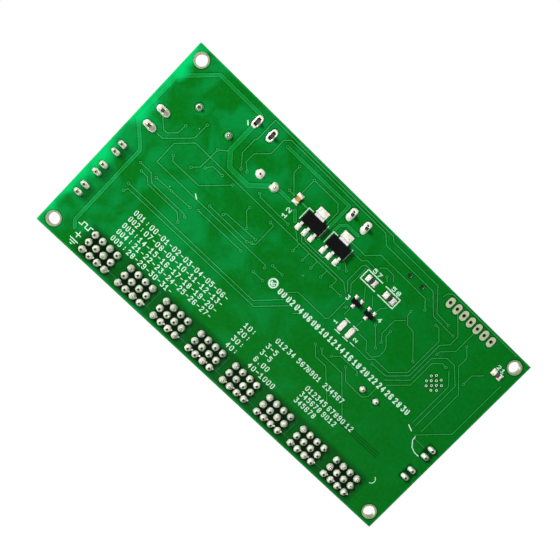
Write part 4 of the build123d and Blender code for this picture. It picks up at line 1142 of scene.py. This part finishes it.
# Short ways out of the other feet, each to a via.
maze = random.Random(7)
module_low, module_high = box("wifi_module_board")
module_pads = []
for a, b in spans("wifi_module_pads"):
    m = (a + b) / 2
    gaps = {(0, -1): m.y - module_low.y, (0, 1): module_high.y - m.y, (1, 0): module_high.x - m.x}
    module_pads.append((m.xy, Vector(min(gaps, key=gaps.get))))
for m, out in [(m.xy, o.xy) for m, h, o, t, n in top_feet] + module_pads:
    for attempt in range(6):
        ahead, aside = maze.uniform(1.6, 3.4), maze.choice((-1, 1)) * maze.uniform(0.5, 2.4)
        bend = m + out * ahead
        end = bend + out * abs(aside) + Vector((-out.y, out.x)) * aside
        if face_map.free([m + out * 1.25, bend, end]):
            route([m, bend, end])
            break


def beside(path, by):
    """A track that keeps its distance from another one and runs past both of its ends."""
    out = []
    for i, p in enumerate(path):
        before = (p - path[i - 1]).normalized() if i else (path[1] - p).normalized()
        after = (path[i + 1] - p).normalized() if i + 1 < len(path) else before
        along = (before + after).normalized()
        across = Vector((-along.y, along.x)) * by / max(0.3, along.dot(before))
        past = 0.95 * ((i + 1 == len(path)) - (i == 0))
        out.append(p + across + along * past)
    return out


# Tracks that cross the open board between vias.
for attempt in range(2600):
    here = Vector((maze.uniform(low.x + 2, high.x - 2), maze.uniform(low.y + 2, high.y - 2)))
    heading, path = maze.randrange(8), [here]
    for leg in range(maze.choice((2, 3, 3, 4))):
        angle = math.radians(45 * heading)
        leg_length = maze.choice((1.5, 2.5, 4.0, 6.0, 9.0, 13.0))
        path.append(path[-1] + Vector((math.cos(angle), math.sin(angle))) * leg_length)
        heading += maze.choice((-1, 1))
    twin = beside(path, maze.choice((-1, 1)) * 0.6)
    if face_map.free(path):
        paired = face_map.free(twin) and maze.random() < 0.6
        for track in (path, twin) if paired else (path,):
            route(track)
            top_vias.append(track[0])

top_openings, top_lands = clear_of(through, 1)
top_pads = []
fillets = Solder(1)
for middle, half, out, tall, name in top_feet:
    fine = name == "surface_leads"
    centre, size = pad_under(middle, half, out, 0.35 if fine else 0.5, 0.08 if fine else 0.2)
    top_pads.append(block_outline(centre, size))
    top_lands.append(block_outline(centre, size, 0.15))
    fillets.joint(centre, oval(size.x * 0.95, size.y * 0.95, 5.0), min(size.x, size.y) * 0.45,
                  0.16 if fine else min(tall * 0.6, 0.4))
fillets.build("solder_fillets", [solder])
pad_half = Vector((0.42, 0.42))
for m, out in module_pads:
    p, q, more = m - pad_half, m + pad_half, out * 0.9
    top_pads.append(box_outline(min(p.x, p.x + more.x), min(p.y, p.y + more.y),
                                max(q.x, q.x + more.x), max(q.y, q.y + more.y)))
relief("mask_component_side", 1, top_tracks, top_vias, top_openings, top_lands, pads=top_pads)

# On the component side the legend keeps the frame's own X and counts Y downwards.
front = Legend(1, lambda x, y: Vector((x, -y)))
number = 0
for n in range(1, 9):
    a, b = box(f"servo_header_{n}")
    front.frame(a, b, 0.25)
    for pin in signal_pins[4 * (n - 1):4 * n]:
        half = 0.9 if number > 9 else 0.42
        front.number(str(number), pin - half, -b.y - 1.75, pin + half, -b.y - 0.65, thick=0.2)
        number += 1
PULSE = ((0, 0.4), (0.35, 0.4), (0.35, -0.5), (0.95, -0.5), (0.95, 0.4), (1.5, 0.4), (1.5, -0.5), (1.9, -0.5))
for x in (header_low.x - 2.9, header_high.x + 1.1):
    row = [-signal_row, -signal_row + 2.54, -signal_row + 5.08]
    front.line(*[(x + u, row[0] + v) for u, v in PULSE], thick=0.2)
    front.line((x + 0.3, row[1]), (x + 1.7, row[1]), thick=0.24)
    front.line((x + 1.0, row[1] - 0.7), (x + 1.0, row[1] + 0.7), thick=0.24)
    for k, half in enumerate((0.9, 0.6, 0.25)):
        front.line((x + 1 - half, row[2] + 0.5 * k), (x + 1 + half, row[2] + 0.5 * k), thick=0.2)
    front.line((x + 1, row[2] - 0.7), (x + 1, row[2]), thick=0.2)
for n in (1, 2, 3):
    a, b = box(f"terminal_block_{n}")
    wide = n < 3
    front.box(a.x - 0.3, -b.y if wide else -b.y - 0.3, b.x + 0.3 if wide else b.x, -a.y + 0.3)
    for k in (-1, 1):
        x, y = ((a.x + b.x) / 2 + 2.54 * k, -a.y + 1.6) if wide else (a.x - 1.6, -(a.y + b.y) / 2 + 2.54 * k)
        front.line((x - 0.6, y), (x + 0.6, y), thick=0.24)
        if k > 0:
            front.line((x, y - 0.6), (x, y + 0.6), thick=0.24)
a, b = box("capacitor_can")
middle = (a + b) / 2
front.ring(middle.x, -middle.y, (b.x - a.x) / 2 + 0.35, 0.2, steps=48)
front.line((a.x - 1.8, -middle.y), (a.x - 0.7, -middle.y), thick=0.24)
front.line((a.x - 1.25, -middle.y - 0.55), (a.x - 1.25, -middle.y + 0.55), thick=0.24)
for a, b in spans("switch_cases"):
    if b.x - a.x > 3 and b.y - a.y > 3:
        front.frame(a, b, 0.25, 0.15)
for a, b in chips:
    front.frame(a, b, 0.05, 0.15)
    front.ring(a.x - 0.7, -a.y + 0.9, 0.16, 0.3, steps=8)
for name, gap in (("crystal_can", 0.4), ("diode_body", 0.35), ("usb_shell", 0.15)):
    a, b = box(name)
    front.box(a.x - gap, max(-b.y - gap, -high.y + 0.3), b.x + gap, -a.y + gap)
a, b = box("diode_body")
front.line((b.x - 1.0, -b.y - 0.35), (b.x - 1.0, -a.y + 0.35), thick=0.3)
for i, (a, b) in enumerate(sorted(spans("jumper_headers"), key=lambda c: (c[0].x, c[0].y))):
    front.frame(a, b, 0.25)
    x, y = b.x + 0.9 if a.x < 0 else a.x - 1.9, -(a.y + b.y) / 2
    front.number(str(i + 1), x, y - 0.75, x + 1.0, y + 0.75)
for corner_x, dx in ((module_low.x, 1), (module_high.x, -1)):
    for corner_y, dy in ((module_low.y, 1), (module_high.y, -1)):
        x, y = corner_x - dx * 0.3, -(corner_y - dy * 0.3)
        front.line((x, y - dy * 2.0), (x, y), (x + dx * 2.0, y), thick=0.2)
# Numbers beside the chip parts.
count = 1
for name in ("chip_resistors", "chip_capacitors", "status_lamps"):
    for a, b in spans(name):
        m = (a + b) / 2
        if m.z < top or m.y < header_high.y + 6:
            continue
        across = b.x - a.x < b.y - a.y
        for k in (1, -1):
            x, y = (m.x + k * 2.0, m.y) if across else (m.x, m.y + k * 1.5)
            if face_map.free([Vector((x - 0.5, y)), Vector((x + 0.5, y))]):
                front.number(f"{count:02d}", x - 0.85, -y - 0.5, x + 0.85, -y + 0.5, thick=0.18)
                face_map.claim(x - 1, y - 0.7, x + 1, y + 0.7)
                break
        count += 1
front.build("legend_component_side")

# Printed antenna on the radio module, and pin 1 marks on the chips.
antenna = Legend(1)
antenna.ground = module_high.z
shield_x = box("wifi_module_shield")[0].x
near, far = shield_x - 1.3, module_low.x + 0.6
at, y = far, module_low.y + 1.4
path = [(shield_x - 0.3, y), (at, y)]
while y + 1.55 < module_high.y - 0.8:
    y += 1.55
    path.append((at, y))
    at = near if at == far else far
    path.append((at, y))
antenna.line(*path, thick=0.45)
antenna.line((shield_x - 0.3, module_low.y + 3.6), (near + 0.3, module_low.y + 3.6), thick=0.45)
antenna.build("antenna_trace", "module_gold", "plated_copper")

dots = Legend(1)
for a, b in chips:
    dots.ground = b.z
    dots.ring(a.x + 0.75, a.y + 0.75, 0.22, 0.2, steps=10)
dots.build("pin_one_marks", "mould_mark", "moulding")

# --- camera, floor and light ---
camera = bpy.data.objects.new("camera", bpy.data.cameras.new("camera"))
bpy.context.scene.collection.objects.link(camera)
camera.data.sensor_width = 36
camera.data.lens = 51.43
camera.data.clip_start = 0.005
camera.location = Vector((26.42, 16.16, -205.67)) * MM
camera.rotation_euler = Euler([math.radians(a) for a in (172.754, 1.534, 135.942)])
bpy.context.scene.camera = camera

# The camera, reflections and clear parts see a white studio; other light from it is weaker.
world = bpy.data.worlds.new("studio")
bpy.context.scene.world = world
world.use_nodes = True
studio = Tree(world.node_tree)
rays = studio.node("LightPath").outputs
seen = studio.math("MAXIMUM", rays["Is Camera Ray"], rays["Is Glossy Ray"])
seen = studio.math("MAXIMUM", seen, rays["Is Transmission Ray"])
strength = studio.ramp(seen, 0.0, 1.0, 0.24, 1.0, smooth=False)
studio.feed(studio.tree.nodes["Background"], ("Color", "Strength"), ((1, 1, 1), strength))


def lamp(name, place, share, size):
    """An area lamp aimed at the board, giving about that share of a plain level.

    place and size are in metres."""
    light = bpy.data.lights.new(name, "AREA")
    light.size = size
    at = Vector(place)
    light.energy = share * math.pi ** 2 * at.length_squared
    obj = bpy.data.objects.new(name, light)
    obj.location = at
    obj.rotation_euler = (-at).to_track_quat("-Z", "Y").to_euler()
    bpy.context.scene.collection.objects.link(obj)


lamp("key_below", (0.42, 0.04, -0.36), 1.10, 0.15)
lamp("fill_below", (-0.10, -0.25, -0.50), 0.12, 0.35)
lamp("key_above", (0.25, -0.32, 0.48), 0.72, 0.20)
lamp("fill_above", (-0.35, 0.25, 0.40), 0.24, 0.35)

FLOOR_HALF, FLOOR_GAP = 3000, 0.05
floor_z = cad_bounds[0][2] / MM - FLOOR_GAP
plane = bpy.data.meshes.new("floor")
outline = box_outline(-FLOOR_HALF, -FLOOR_HALF, FLOOR_HALF, FLOOR_HALF)
plane.from_pydata([(p.x * MM, p.y * MM, floor_z * MM) for p in outline], [], [(0, 1, 2, 3)])
paper = Shade("floor_paper", roughness=0.9, specular=0.0)
paper.colour((0.86, 0.86, 0.86))
# Far from the board, where the lamps hardly reach, the paper stays as pale to the camera as it is near it.
geometry = paper.node("NewGeometry").outputs
far = paper.node("VectorMath", operation="LENGTH")
paper.link(geometry["Position"], far.inputs[0])
glow = paper.times(paper.ramp(far.outputs["Value"], 0.18, 0.9, 0.0, 0.8, smooth=False),
                   paper.node("LightPath").outputs["Is Camera Ray"])
paper.feed(paper.bsdf, ("Emission Color", "Emission Strength"), ((1, 1, 1), glow))
# From below, the paper is clear.
clear = paper.node("BsdfTransparent").outputs[0]
choose = paper.feed(paper.node("MixShader"), (0, 1, 2), (geometry["Backfacing"], paper.bsdf.outputs[0], clear))
paper.link(choose, paper.tree.nodes["Material Output"].inputs["Surface"])
plane.materials.append(paper.mat)
ground = bpy.data.objects.new("floor", plane)
bpy.context.scene.collection.objects.link(ground)
for way in ("visible_diffuse", "visible_glossy", "visible_transmission", "visible_shadow"):
    setattr(ground, way, False)

view = bpy.context.scene.view_settings
view.view_transform = "Standard"
